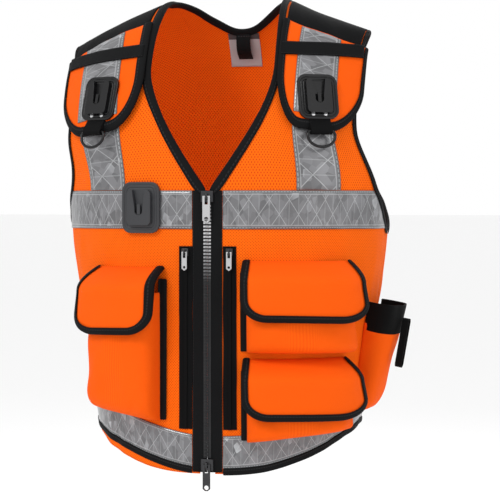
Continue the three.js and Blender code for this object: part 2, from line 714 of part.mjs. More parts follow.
// ---- docks: a stitched pad, a raised plate with a keyhole and a catch in the keyhole's seat ----
function addDock(name, size, frame, look) {
  const pad = plate(roundedOutline(size.width, size.height, size.corner), size.thick, 0);
  addPart(`${name}_pad`, placed(pad, frame), look);
  const outline = new THREE.Shape();
  const x = DOCK_PLATE.width / 2;
  const y = DOCK_PLATE.height / 2;
  const c = DOCK_PLATE.corner;
  const seatY = y - DOCK_SLOT.drop;
  outline.moveTo(c - x, -y);
  outline.lineTo(x - c, -y);
  outline.absarc(x - c, c - y, c, -Math.PI / 2, 0);
  outline.absarc(x - c, y - c, c, 0, Math.PI / 2);
  outline.lineTo(DOCK_SLOT.mouth / 2, y);
  outline.lineTo(DOCK_SLOT.seat, seatY + 4);
  outline.absarc(0, seatY, DOCK_SLOT.seat, 0.3, -Math.PI - 0.3, true);
  outline.lineTo(-DOCK_SLOT.seat, seatY + 4);
  outline.lineTo(-DOCK_SLOT.mouth / 2, y);
  outline.absarc(c - x, y - c, c, Math.PI / 2, Math.PI);
  outline.absarc(c - x, c - y, c, Math.PI, 1.5 * Math.PI);
  const raised = size.thick + GAP;
  addPart(`${name}_plate`, placed(plate(outline, DOCK_PLATE.thick, raised), frame), look);
  const low = seatY - DOCK_SLOT.seat + 2 * GAP;
  const near = raised + DOCK_PLATE.thick - CATCH.thick - GAP;
  const tongue = new THREE.BoxGeometry(CATCH.width, CATCH.length, CATCH.thick);
  tongue.translate(0, low + CATCH.length / 2, near + CATCH.thick / 2);
  addPart(`${name}_catch`, placed(tongue, frame), look);
}

// ---- webbing tab folded round the D-ring's straight bar ----
function addRing(hand, frame) {
  const padEnd = -SHOULDER_PAD.height / 2;
  const barY = padEnd - TAB.drop;
  const hole = RING.wire * 0.7072 + GAP;
  const round = hole + TAB.thick;
  const top = padEnd - GAP;
  const profile = new THREE.Shape();
  profile.moveTo(top, 0);
  profile.lineTo(barY, 0);
  profile.absarc(barY, round, round, -Math.PI / 2, -1.5 * Math.PI, true);
  profile.lineTo(barY + 5, 2 * round - 1);
  profile.lineTo(top, 2 * TAB.thick);
  profile.closePath();
  profile.holes.push(new THREE.Path().absarc(barY, round, hole, 0, 2 * Math.PI));
  const extrusion = { depth: TAB.width, bevelEnabled: false, curveSegments: 5 };
  const tab = new THREE.ExtrudeGeometry(profile, extrusion);
  tab.translate(0, 0, -TAB.width / 2).applyMatrix4(SIDE_VIEW);
  addPart(`webbing_tab_${hand}`, placed(tab, frame), "black");
  const ring = plate(ringOutline(), RING.wire, round - RING.wire / 2).translate(0, barY, 0);
  addPart(`d_ring_${hand}`, placed(ring, frame), "plastic");
}

function ringOutline() {
  const half = RING.width / 2;
  const outline = new THREE.Shape();
  const bar = RING.wire / 2;
  const bow = RING.height - RING.corner - 2;
  outline.moveTo(half - RING.corner, bar);
  outline.lineTo(RING.corner - half, bar);
  outline.absarc(RING.corner - half, bar - RING.corner, RING.corner, Math.PI / 2, Math.PI);
  outline.absellipse(0, bar - RING.corner - 2, half, bow, Math.PI, 2 * Math.PI);
  outline.absarc(half - RING.corner, bar - RING.corner, RING.corner, 0, Math.PI / 2);
  const inside = new THREE.Path();
  const inner = half - RING.wire;
  inside.moveTo(inner, -bar);
  inside.lineTo(inner, bar - RING.corner - 2);
  inside.absellipse(0, bar - RING.corner - 2, inner, bow - RING.wire, 0, -Math.PI, true);
  inside.lineTo(-inner, -bar);
  inside.closePath();
  outline.holes.push(inside);
  return outline;
}

// ---- main zip ----
function combOutline(side) {
  const outline = new THREE.Shape();
  const end = CHAIN_LOW + CHAIN_TEETH * TOOTH_PITCH;
  const lag = side > 0 ? 0.2 : 0.2 + TOOTH_PITCH / 2;
  outline.moveTo(side * BEAD_OUTER, CHAIN_LOW);
  outline.lineTo(side * BEAD_INNER, CHAIN_LOW);
  for (let tooth = 0; tooth < CHAIN_TEETH; tooth += 1) {
    const z = CHAIN_LOW + tooth * TOOTH_PITCH + lag;
    outline.lineTo(side * BEAD_INNER, z);
    outline.lineTo(-side * TOOTH_REACH, z);
    outline.lineTo(-side * TOOTH_REACH, z + TOOTH_WIDTH);
    outline.lineTo(side * BEAD_INNER, z + TOOTH_WIDTH);
  }
  outline.lineTo(side * BEAD_INNER, end);
  outline.lineTo(side * BEAD_OUTER, end);
  outline.closePath();
  return outline;
}

// an upright strip between two distances from the centre
function stripCells(inner, outer, heights) {
  return tapeCells((height) => angleAt(inner, height), (height) => angleAt(outer, height), heights);
}

function addMainZip() {
  for (const [side, hand] of [[1, "left"], [-1, "right"]]) {
    const tape = mirrored(stripCells(ZIP_TAPE_INNER, ZIP_TAPE_OUTER, between(2, CHEST_TOP - 1)), side);
    addPart(`zip_tape_${hand}`, layer(tape, ON_PANEL, ON_PANEL + TAPE), "black");
    const comb = plate(combOutline(side), CHAIN_FRONT - CHAIN_BACK, CHAIN_BACK);
    addPart(`zip_teeth_${hand}`, placed(comb, frameOn(front(0, 0), 0)), "metal");
  }
  addSlider("main", MAIN_SLIDER, 0, CHAIN_FRONT, ON_PANEL + TAPE, BEAD_OUTER);
  addSlider("lower", LOWER_SLIDER, 0, CHAIN_FRONT, ON_PANEL + TAPE, BEAD_OUTER);
}

// A slider straddles the teeth and carries a lug; its pull hangs from a bar inside the lug
function addSlider(name, size, x, teethFront, tapeFront, teethHalf) {
  const frame = frameOn(front(x, size.z), 0);
  const half = size.width / 2;
  const under = teethFront + SLIDER_GAP;
  const top = under + size.plate;
  const skirt = tapeFront + SLIDER_GAP;
  const channel = teethHalf + SLIDER_GAP;
  const profile = new THREE.Shape();
  profile.moveTo(-half, skirt);
  profile.lineTo(-channel, skirt);
  profile.lineTo(-channel, under);
  profile.lineTo(channel, under);
  profile.lineTo(channel, skirt);
  profile.lineTo(half, skirt);
  profile.lineTo(half, top - size.plate / 2);
  profile.lineTo(half - 1, top);
  profile.lineTo(1 - half, top);
  profile.lineTo(-half, top - size.plate / 2);
  profile.closePath();
  const body = new THREE.ExtrudeGeometry(profile, { depth: size.length, bevelEnabled: false });
  body.applyMatrix4(ACROSS_CLOTH).translate(0, size.length / 2, 0);
  const thick = size.pull.thick;
  const eye = thick * 0.7072 + GAP;
  const wall = 1.1;
  const lug = new THREE.Shape();
  const reach = eye + 2.2;
  lug.moveTo(-reach, top - 0.3);
  lug.lineTo(-eye - 0.6, top - 0.3);
  lug.lineTo(-eye - 0.6, top + 2 * eye);
  lug.lineTo(eye + 0.6, top + 2 * eye);
  lug.lineTo(eye + 0.6, top - 0.3);
  lug.lineTo(reach, top - 0.3);
  lug.lineTo(reach - 0.6, top + 2 * eye + wall);
  lug.lineTo(0.6 - reach, top + 2 * eye + wall);
  lug.closePath();
  const arch = new THREE.ExtrudeGeometry(lug, { depth: size.lug, bevelEnabled: false });
  arch.translate(0, 0, -size.lug / 2).applyMatrix4(SIDE_VIEW);
  const joined = toGeometry(toSolid(body).add(toSolid(arch)));
  addPart(`${name}_slider`, placed(joined, frame), "metal");
  addPart(`${name}_pull`, placed(pullPlate(size, top + eye), frame), "metal");
}

function pullPlate(size, axis) {
  const { width, length, thick } = size.pull;
  const half = width / 2;
  const outline = new THREE.Shape();
  outline.moveTo(-half, thick / 2);
  outline.lineTo(-half, 3 - length);
  outline.lineTo(3 - half, thick / 2 - length);
  outline.lineTo(half - 3, thick / 2 - length);
  outline.lineTo(half, 3 - length);
  outline.lineTo(half, thick / 2);
  outline.closePath();
  const eye = new THREE.Path();
  const inner = size.lug / 2 + 2 * GAP;
  eye.moveTo(-inner, -thick / 2);
  eye.lineTo(inner, -thick / 2);
  eye.lineTo(inner, -length * 0.3);
  eye.lineTo(-inner, -length * 0.3);
  eye.closePath();
  const grip = new THREE.Path().absarc(0, 4.6 - length, half - 1.7, 0, 2 * Math.PI);
  outline.holes.push(eye, grip);
  return plate(outline, thick, axis - thick / 2);
}

// ---- chest zips ----
function addSideZip(side, hand) {
  const heights = between(SIDE_ZIP_LOW, SIDE_ZIP_HIGH);
  const band = (inner, outer) => mirrored(stripCells(inner, outer, heights), side);
  const middle = (SIDE_ZIP_INNER + SIDE_ZIP_OUTER) / 2;
  const tape = layer(band(SIDE_ZIP_INNER, SIDE_ZIP_OUTER), ON_PANEL, ON_PANEL + TAPE);
  const coilFront = ON_PANEL + TAPE + COIL_HIGH;
  const coil = layer(band(middle - COIL_WIDTH / 2, middle + COIL_WIDTH / 2), ON_PANEL + TAPE / 2, coilFront);
  addPart(`chest_zip_tape_${hand}`, toGeometry(toSolid(tape).add(toSolid(coil))), "black");
  addSlider(`chest_zip_${hand}`, SIDE_SLIDER, side * middle, coilFront, ON_PANEL + TAPE, COIL_WIDTH / 2);
}

// ---- pockets: open-topped bags sewn to the panel, each under its flap ----
function bagCells(pocket, inset, low, high) {
  const heights = [low, ...between(low + pocket.lift, high).slice(1)];
  const inner = heights.map((h) => [angleAt(pocket.inner + inset, h), h]);
  const outer = heights.map((h, row) => [angleAt(pocket.outer - inset, h), row ? h : h + pocket.lift]);
  return mirrored(ladder(inner, outer), pocket.side);
}

function addPocket(name, pocket) {
  const mouth = pocket.top - pocket.fold - 2;
  const hollowCells = bagCells(pocket, CLOTH, pocket.low + CLOTH, mouth + 6);
  const outer = layer(bagCells(pocket, 0, pocket.low, mouth), pocket.on, pocket.depth);
  const hollow = layer(hollowCells, pocket.on + CLOTH, pocket.depth - CLOTH);
  addPart(name, cut(outer, hollow), "orange");
  const folded = (at) => shareOf(at[1], pocket.top, pocket.top - pocket.fold);
  const front = pocket.depth + GAP;
  const rise = (at) => ON_PANEL + (front - ON_PANEL) * Math.sin(folded(at) * (Math.PI / 2)) ** 0.9;
  const seamThicker = 0.6;
  const outside = (at) => rise(at) + CLOTH + seamThicker * (1 - folded(at));
  addPart(`${name}_flap`, layer(mirrored(pocketFlapCells(pocket), pocket.side), rise, outside), "orange");
}

function pocketFlapCells(pocket) {
  const bottom = pocket.top - pocket.drop;
  const foldHeights = [0, 0.2, 0.45, 0.7, 1].map((share) => pocket.top - share * pocket.fold);
  const cornerHeights = [1, 0.55, 0.25, 0.07, 0].map((share) => bottom + share * POCKET_FLAP_CORNER);
  const middle = (pocket.inner + pocket.outer) / 2;
  const half = (pocket.outer - pocket.inner) / 2 + FLAP_SIDE;
  const flat = 1 - POCKET_FLAP_CORNER / half;
  const edge = (side) => (height) => {
    const ease = flat + (1 - flat) * roundedEnd(height - bottom, POCKET_FLAP_CORNER);
    return angleAt(middle + side * half * ease, height);
  };
  return tapeCells(edge(-1), edge(1), [...foldHeights, ...cornerHeights]);
}

// ---- side pouch and its elastic loop ----
function addPouch() {
  const radians = THREE.MathUtils.degToRad;
  const taper = (height) => radians(POUCH.taper) * (1 - shareOf(height, POUCH.low, POUCH.top));
  const cells = (inset, low, high) => tapeCells(
    (height) => radians(POUCH.from) + taper(height) + inset,
    (height) => radians(POUCH.to) - taper(height) - inset,
    between(low, high),
  );
  const outer = layer(cells(0, POUCH.low, POUCH.top), ON_TAPE, POUCH.depth);
  const wall = CLOTH / 130;
  const hollow = layer(cells(wall, POUCH.low + CLOTH, POUCH.top + 5), ON_TAPE + CLOTH, POUCH.depth - CLOTH);
  addPart("side_pouch", cut(outer, hollow), "orange");
  const { width, length, band } = ELASTIC;
  const loop = roundedOutline(width, length, width / 2 - 0.1);
  loop.holes.push(roundedOutline(width - 2 * band, length - 2 * band, width / 2 - band - 0.1));
  const middle = radians((POUCH.from + POUCH.to) / 2);
  const frame = frameOn([middle, POUCH.top - length / 2 - 14], POUCH.depth + DOCK_GAP);
  addPart("pouch_elastic_loop", placed(plate(loop, ELASTIC.depth, 0), frame), "black");
}

// ---- label and hanger loop inside the back neck ----
function addNeckPieces() {
  const top = RIDGE - BACK_NECK_DROP - 3;
  const cells = (half, height, steps) => {
    const heights = range(top - height, top, steps);
    const angle = angleAt(half, CHEST_TOP);
    return ladder(heights.map((h) => [Math.PI - angle, h]), heights.map((h) => [Math.PI + angle, h]));
  };
  addPart("care_label", layer(cells(LABEL.half, LABEL.height, 2), -GAP - LABEL.thick, -GAP), "label");
  const near = -2 * GAP - LABEL.thick;
  const bulge = (at) => HANGER.bulge * Math.sin(shareOf(at[1], top, top - HANGER.height) * Math.PI);
  const outer = (at) => near - bulge(at);
  const inner = (at) => outer(at) - HANGER.thick;
  addPart("hanger_loop", layer(cells(HANGER.half, HANGER.height, 6), inner, outer), "black");
}

vest.name = "high_visibility_vest";
addPanels();
addBindings();
addTapes();
addMainZip();
for (const [side, hand] of [[1, "left"], [-1, "right"]]) {
  addShoulder(side, hand);
  addSideZip(side, hand);
}
const chestFrame = frameOn(front(CHEST_DOCK.x, CHEST_DOCK.z), ON_PANEL + TAPE + DOCK_GAP);
addDock("chest_dock", DOCK_PAD, chestFrame, "dock");
Object.entries(POCKETS).forEach(([name, pocket]) => addPocket(name, pocket));
addPouch();
addNeckPieces();

export default vest;
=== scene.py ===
import bpy
from collections import namedtuple
from math import acos, asin, copysign, cos, pi, radians, sin
from mathutils import Matrix, Vector, noise


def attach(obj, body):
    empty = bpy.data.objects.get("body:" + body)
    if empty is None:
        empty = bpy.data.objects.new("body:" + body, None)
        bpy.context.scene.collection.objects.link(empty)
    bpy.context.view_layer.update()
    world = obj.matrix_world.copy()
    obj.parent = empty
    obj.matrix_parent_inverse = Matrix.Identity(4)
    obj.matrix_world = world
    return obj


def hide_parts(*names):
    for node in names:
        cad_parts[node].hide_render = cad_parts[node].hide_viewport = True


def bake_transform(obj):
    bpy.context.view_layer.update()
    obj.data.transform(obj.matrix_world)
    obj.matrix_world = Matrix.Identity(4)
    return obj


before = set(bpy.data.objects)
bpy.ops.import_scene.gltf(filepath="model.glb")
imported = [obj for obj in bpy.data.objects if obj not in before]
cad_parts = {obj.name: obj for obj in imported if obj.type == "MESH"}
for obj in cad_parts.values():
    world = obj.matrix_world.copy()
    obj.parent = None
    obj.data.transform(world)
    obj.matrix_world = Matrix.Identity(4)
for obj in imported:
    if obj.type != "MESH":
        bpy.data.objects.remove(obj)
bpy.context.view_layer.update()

# ---- the body the vest hangs on, as the CAD parts have it, in metres ----
# ROUND turns an angle round the body into a length of cloth, and LEAN is how far the outer cloth of both
# shoulders sits to the wearer's right.
HEM_HALF_WIDTH = 0.156
CHEST_HALF_WIDTH = 0.195
HALF_DEPTH = 0.130
SQUARENESS = 2.25
CHEST_TOP = 0.332
SHOULDER_ROUND = 2.2
NECK_HEIGHT = 0.563
NECK_HALF_WIDTH = 0.070
SHOULDER_DROP = {-1: 0.48, 1: 0.36}
RIDGE_Y = 0.008
SHOULDER_RUN = 0.230
RIDGE = CHEST_TOP + SHOULDER_RUN
ROUND = 0.175
LEAN = 0.012
LEAN_X = (0.060, 0.130)
LEAN_RISE = 0.050

# ---- outlines ----
SIDE_SEAM = pi / 2
CENTRE_EDGE = 0.009
HEM_RISE = 0.048
HEM_CURVE = {-1: 1.6, 1: 2.8}
V_HALF_WIDTH = 0.004
NECK_BULGE = 0.076
NECK_WIDEST = 0.42
BACK_NECK_DROP = 0.078
ARMHOLE_BOTTOM = 0.284
SHOULDER_END = 0.183
ARMHOLE_WAIST = 0.174
BACK_WAIST = 0.145

# ---- layers, as distances out from the body ----
PANEL = 0.002
ON_PANEL = 0.0024
TAPE = 0.0008
BINDING_WIDTH = 0.009
FLAP_LIFT = 0.0045
FLAP = 0.002

# ---- tape ----
HEM_BINDING = 0.006
HEM_TAPE = 0.038
CHEST_TAPE_LOW = 0.286
CHEST_TAPE_WIDTH = 0.045
BRACE_INNER = 0.102
BRACE_WIDTH = 0.048
BRACE_LEAN = 0.006
BACK_BRACE_INNER = 0.076
BACK_BRACE_LEAN = 0.032
TAPE_CUT = 0.050
BESIDE_ZIP = 0.0182
BESIDE_ARMHOLE = BINDING_WIDTH + 0.0005
TAPE_EDGE_GAP = 0.0005
YOKE_FRONT = 0.076
YOKE_BACK = 0.046
TOOTH_PITCH = 0.004

# ---- shoulder flaps ----
FLAP_INNER = 0.080
FLAP_OUTER = 0.182
FLAP_OUTER_LOW = 0.174
FLAP_START = 0.078
FLAP_LENGTH = 0.186
FLAP_CORNER = 0.044
FLAP_TIP = 0.32
STRAP_INNER = 0.502
STRAP_OUTER = 0.501
STRAP_WIDTH = 0.015

# ---- docks: x, z, distance out; the cloth stays smooth within the radius of each hard spot ----
CHEST_DOCK = (-0.080, 0.311, 0.0033)
SHOULDER_DOCKS = {1: (0.132, 0.438, 0.0079), -1: (-0.122, 0.438, 0.0079)}
CHEST_PAD = (0.049, 0.060, 0.0035)
SHOULDER_PAD = (0.049, 0.054, 0.0035)
DOCK_CORNER = 0.011
TAB_DROP = 0.015
TAB_THICK = 0.0016
RING_SECTION = 0.0032
RING_GAP = 0.00035
RING_HALF = 0.0168
RING_WIRE = 0.0017
HARD_SPOTS = ((-0.080, 0.311, 0.048), (0.127, 0.406, 0.060), (-0.127, 0.406, 0.060))

# ---- pockets: edges from the middle, bottom and its rise to the side, folded-over top, flap drop ----
Pocket = namedtuple("Pocket", "side inner outer low rise top depth fold drop lift")
POCKETS = {
    "bellows_pocket": Pocket(side=-1, inner=0.056, outer=0.134, low=0.060, rise=0.014, top=0.240,
                             depth=0.042, fold=0.026, drop=0.074, lift=0.0035),
    "upper_pocket": Pocket(side=1, inner=0.046, outer=0.154, low=0.142, rise=0.0, top=0.248,
                           depth=0.036, fold=0.024, drop=0.066, lift=0.0024),
    "lower_pocket": Pocket(side=1, inner=0.046, outer=0.146, low=0.038, rise=0.012, top=0.134,
                           depth=0.036, fold=0.024, drop=0.066, lift=0.0035),
}
POCKET_FLAP_CORNER = 0.024
SEWN_EDGE = 0.002
BEND_LENGTH = 0.010
POUCH = {"from": 72, "to": 96, "low": 0.066, "top": 0.200, "depth": 0.040, "taper": 3}


# ---- the body surface ----
def share_of(value, start, end):
    return min(1.0, max(0.0, (value - start) / (end - start)))


def smooth(share):
    return share * share * (3 - 2 * share)


def half_width(height):
    return HEM_HALF_WIDTH + (CHEST_HALF_WIDTH - HEM_HALF_WIDTH) * smooth(share_of(height, 0, CHEST_TOP))


def ridge_height(x):
    drop = SHOULDER_DROP[-1 if x < 0 else 1]
    return NECK_HEIGHT - drop * max(0.0, abs(x) - NECK_HALF_WIDTH)


def body_point(angle, height):
    if height > RIDGE:
        return body_point(pi - angle, 2 * RIDGE - height)
    across = sin(angle)
    x = half_width(height) * across
    in_front = max(0.0, 1 - abs(across) ** SQUARENESS) ** (1 / SQUARENESS)
    y = -HALF_DEPTH * copysign(1, cos(angle)) * in_front
    if height <= CHEST_TOP:
        return Vector((x, y, height))
    lean = LEAN * smooth(share_of(abs(x), *LEAN_X))
    lean *= smooth(share_of(height, CHEST_TOP, CHEST_TOP + LEAN_RISE))
    turn = (height - CHEST_TOP) / SHOULDER_RUN * pi / 2
    inward = max(0.0, cos(turn)) ** (2 / SHOULDER_ROUND)
    upward = sin(turn) ** (2 / SHOULDER_ROUND)
    rise = ridge_height(x) - CHEST_TOP
    return Vector((x - lean, RIDGE_Y + (y - RIDGE_Y) * inward, CHEST_TOP + rise * upward))


def body_normal(angle, height):
    across = body_point(angle + 0.004, height) - body_point(angle - 0.004, height)
    up = body_point(angle, height + 0.0015) - body_point(angle, height - 0.0015)
    return across.cross(up).normalized()


# how far the cloth stands off the body: soft folds, none round the zips and docks
def drape(angle, height):
    if height > RIDGE:
        return drape(pi - angle, 2 * RIDGE - height)
    x = half_width(height) * sin(angle)
    quiet = smooth(share_of(RIDGE - height, 0, 0.06))
    if cos(angle) > 0:
        quiet *= smooth(share_of(abs(x), 0.036, 0.085))
        for spot_x, spot_height, radius in HARD_SPOTS:
            away = Vector((x - spot_x, height - spot_height)).length
            quiet *= smooth(share_of(away, radius * 0.75, radius * 1.6))
    turn = Vector((cos(angle), sin(angle)))
    folds = noise.noise(Vector((turn.x * 3.1, turn.y * 3.1, height * 5)))
    creases = noise.noise(Vector((turn.x * 9, turn.y * 9, height * 21 + 5)))
    return quiet * (0.0042 * folds + 0.0014 * creases)


def on_body(lift):
    def place(angle, height):
        out = lift(angle, height) + drape(angle, height)
        return body_point(angle, height) + body_normal(angle, height) * out
    return place


def flat_on(lift):
    return on_body(lambda angle, height: lift)


def angle_at(x, height):
    return asin(max(-1.0, min(1.0, x / half_width(height))))


def below(x, down):
    return (angle_at(x, CHEST_TOP), RIDGE - down)


def front(x, z):
    if z <= CHEST_TOP:
        return (angle_at(x, z), z)
    share = min(1.0, (z - CHEST_TOP) / (ridge_height(x) - CHEST_TOP))
    return (angle_at(x, z), CHEST_TOP + asin(share ** (SHOULDER_ROUND / 2)) / (pi / 2) * SHOULDER_RUN)


# ---- outline curves ----
def hem_height(angle):
    return HEM_RISE * abs(sin(angle)) ** HEM_CURVE[-1 if sin(angle) < 0 else 1]


def neck_angle(height):
    share = (height - CHEST_TOP) / SHOULDER_RUN
    spread = sin(share_of(share, 0, NECK_WIDEST) * pi / 2) ** 0.9
    pull = smooth(share_of(share, NECK_WIDEST, 1))
    x = V_HALF_WIDTH + (NECK_BULGE - V_HALF_WIDTH) * spread - (NECK_BULGE - NECK_HALF_WIDTH) * pull
    return angle_at(x, CHEST_TOP)


NECK_END = neck_angle(RIDGE)


def back_neck_height(turn):
    return RIDGE - BACK_NECK_DROP * cos(turn / NECK_END * pi / 2)


def back_neck_turn(height):
    return NECK_END * acos(share_of(RIDGE - height, 0, BACK_NECK_DROP)) * 2 / pi


def armhole_angle(height, narrowest=ARMHOLE_WAIST):
    share = share_of(height, ARMHOLE_BOTTOM, RIDGE)
    waist = angle_at(narrowest, CHEST_TOP)
    end = angle_at(SHOULDER_END, CHEST_TOP)
    low = SIDE_SEAM + (waist - SIDE_SEAM) * sin(share_of(share, 0, 0.4) * pi / 2) ** 0.85
    return low + (end - waist) * smooth(share_of(share, 0.4, 1))


def spread(start, end, steps):
    return [start + (end - start) * step / steps for step in range(steps + 1)]


def mirrored(address, side):
    if side > 0:
        return address
    def other_side(across, along):
        angle, height = address(1 - across, along)
        return (-angle, height)
    return other_side


# ---- making sheets ----
def clear_selection():
    for piece in bpy.context.selected_objects:
        piece.select_set(False)


def apply_modifier(piece, kind, name, **settings):
    modifier = piece.modifiers.new(name, kind)
    for key, value in settings.items():
        setattr(modifier, key, value)
    clear_selection()
    piece.select_set(True)
    bpy.context.view_layer.objects.active = piece
    bpy.ops.object.modifier_apply(modifier=name)


def thicken(piece, thickness):
    apply_modifier(piece, "SOLIDIFY", "wall", thickness=thickness, offset=1, use_even_offset=False)


def in_edit_mode(piece, work):
    clear_selection()
    piece.select_set(True)
    bpy.context.view_layer.objects.active = piece
    bpy.ops.object.mode_set(mode="EDIT")
    bpy.ops.mesh.select_all(action="SELECT")
    work()
    bpy.ops.object.mode_set(mode="OBJECT")


def lay_grid(name, columns, rows, cut, spot):
    """A grid of cloth: cut gives its flat coordinates and spot its place, from shares across and along."""
    clear_selection()
    bpy.ops.mesh.primitive_grid_add(x_subdivisions=columns, y_subdivisions=rows, size=1)
    piece = bpy.context.object
    piece.name = name
    cloth = piece.data.uv_layers.active.data
    for loop in piece.data.loops:
        corner = piece.data.vertices[loop.vertex_index].co
        cloth[loop.index].uv = cut(corner.x + 0.5, corner.y + 0.5)
    for vertex in piece.data.vertices:
        vertex.co = spot(vertex.co.x + 0.5, vertex.co.y + 0.5)
    return piece


def soften(piece, thickness, offset):
    """A wall of cloth with rounded edges."""
    apply_modifier(piece, "SOLIDIFY", "wall", thickness=thickness, offset=offset)
    apply_modifier(piece, "SUBSURF", "soft", levels=1, render_levels=1)
    bpy.ops.object.shade_smooth()


def join(pieces):
    clear_selection()
    for piece in pieces:
        piece.select_set(True)
    bpy.context.view_layer.objects.active = pieces[0]
    bpy.ops.object.join()
    return pieces[0]


def lay_sheet(name, address, place, columns, rows, cut, thickness):
    """A grid laid on a surface: address turns its shares into a place on the body."""
    piece = lay_grid(name, columns, rows, cut, lambda across, along: place(*address(across, along)))
    if thickness:
        thicken(piece, thickness)
    bpy.ops.object.shade_smooth()
    return piece


def finish_piece(piece, look, body, nodes):
    piece.data.materials.clear()
    piece.data.materials.append(look)
    if body:
        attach(piece, body)
    if nodes:
        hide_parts(*nodes)
    return piece


def patch(address):
    """Cloth cut on the body's own grid, so its weave keeps its size."""
    def cut(across, along):
        angle, height = address(across, along)
        return (angle * ROUND, height)
    return cut


# ---- materials ----
def shader_of(look):
    return look.node_tree.nodes["Principled BSDF"]


def new_look(name, colour, roughness, metallic=0.0):
    look = bpy.data.materials.new(name)
    look.use_nodes = True
    shader = shader_of(look)
    shader.inputs["Base Color"].default_value = (*colour, 1)
    shader.inputs["Roughness"].default_value = roughness
    shader.inputs["Metallic"].default_value = metallic
    return look


def add_node(look, kind, inputs=(), **settings):
    node = look.node_tree.nodes.new(kind)
    for key, value in settings.items():
        setattr(node, key, value)
    for socket, value in inputs:
        if isinstance(value, bpy.types.NodeSocket):
            look.node_tree.links.new(value, node.inputs[socket])
        else:
            node.inputs[socket].default_value = value
    return node


def calculate(look, operation, first, second=0.0):
    return add_node(look, "ShaderNodeMath", ((0, first), (1, second)), operation=operation).outputs[0]


def times(look, first, second):
    return calculate(look, "MULTIPLY", first, second)


def cloth_place(look):
    uv = add_node(look, "ShaderNodeTexCoord").outputs["UV"]
    split = add_node(look, "ShaderNodeSeparateXYZ", ((0, uv),))
    return uv, split.outputs[0], split.outputs[1]


def object_noise(look, scale, detail=3.0):
    place = add_node(look, "ShaderNodeTexCoord").outputs["Object"]
    settings = (("Vector", place), ("Scale", scale), ("Detail", detail))
    return add_node(look, "ShaderNodeTexNoise", settings).outputs["Fac"]


def mix_colours(look, amount, first, second):
    node = add_node(look, "ShaderNodeMix", data_type="RGBA")
    for socket, value in ((0, amount), (6, first), (7, second)):
        if isinstance(value, bpy.types.NodeSocket):
            look.node_tree.links.new(value, node.inputs[socket])
        elif socket == 0:
            node.inputs[socket].default_value = value
        else:
            node.inputs[socket].default_value = (*value, 1)
    return node.outputs[2]


def set_colour(look, colour):
    look.node_tree.links.new(colour, shader_of(look).inputs["Base Color"])


def set_roughness(look, value):
    look.node_tree.links.new(value, shader_of(look).inputs["Roughness"])


def set_bump(look, height, depth, strength=1.0):
    settings = (("Strength", strength), ("Distance", depth), ("Height", height))
    bump = add_node(look, "ShaderNodeBump", settings)
    look.node_tree.links.new(bump.outputs[0], shader_of(look).inputs["Normal"])


def set_shine(look, amount):
    shader_of(look).inputs["Specular IOR Level"].default_value = amount


def half_ripple(look, coordinate, pitch):
    """A soft wave from 0 to 1 that repeats every pitch metres."""
    wave = calculate(look, "SINE", times(look, coordinate, 2 * pi / pitch))
    node = add_node(look, "ShaderNodeMath", ((0, wave), (1, 0.5), (2, 0.5)), operation="MULTIPLY_ADD")
    return node.outputs[0]


def stitch_row(look, along, across, row, pitch=0.0034, width=0.0005):
    """1 on the dashes of a line of stitches, 0 elsewhere."""
    away = calculate(look, "ABSOLUTE", calculate(look, "SUBTRACT", across, row))
    on_line = calculate(look, "LESS_THAN", away, width)
    dash = calculate(look, "FRACT", times(look, along, 1 / pitch))
    return times(look, on_line, calculate(look, "LESS_THAN", dash, 0.66))


def woven_look(name, colour, shade, pitch):
    """Plain weave: two sets of threads, darker between them, and a little wear and dust."""
    look = new_look(name, colour, 0.82)
    _, along, across = cloth_place(look)
    warp = half_ripple(look, along, pitch)
    threads = times(look, warp, half_ripple(look, across, pitch))
    patches = object_noise(look, 14, 4)
    lit = mix_colours(look, threads, shade, colour)
    worn = times(look, patches, 0.35)
    set_colour(look, mix_colours(look, worn, lit, shade))
    set_bump(look, threads, 0.00025, 0.6)
    set_shine(look, 0.12)
    return look


def mesh_look(name, colour, hole, pitch):
    """Warp-knitted mesh: staggered holes in a bright knit."""
    look = new_look(name, colour, 0.8)
    _, along, across = cloth_place(look)
    first = half_ripple(look, calculate(look, "ADD", along, across), pitch)
    second = half_ripple(look, calculate(look, "SUBTRACT", along, across), pitch)
    holes = times(look, first, second)
    edge = add_node(look, "ShaderNodeMapRange", ((0, holes), (1, 0.42), (2, 0.66)))
    patches = object_noise(look, 9, 3)
    worn = tuple(0.72 * part for part in colour)
    base = mix_colours(look, times(look, patches, 0.4), colour, worn)
    set_colour(look, mix_colours(look, edge.outputs[0], base, hole))
    set_bump(look, calculate(look, "SUBTRACT", 1.0, edge.outputs[0]), 0.0005, 0.8)
    set_shine(look, 0.12)
    return look


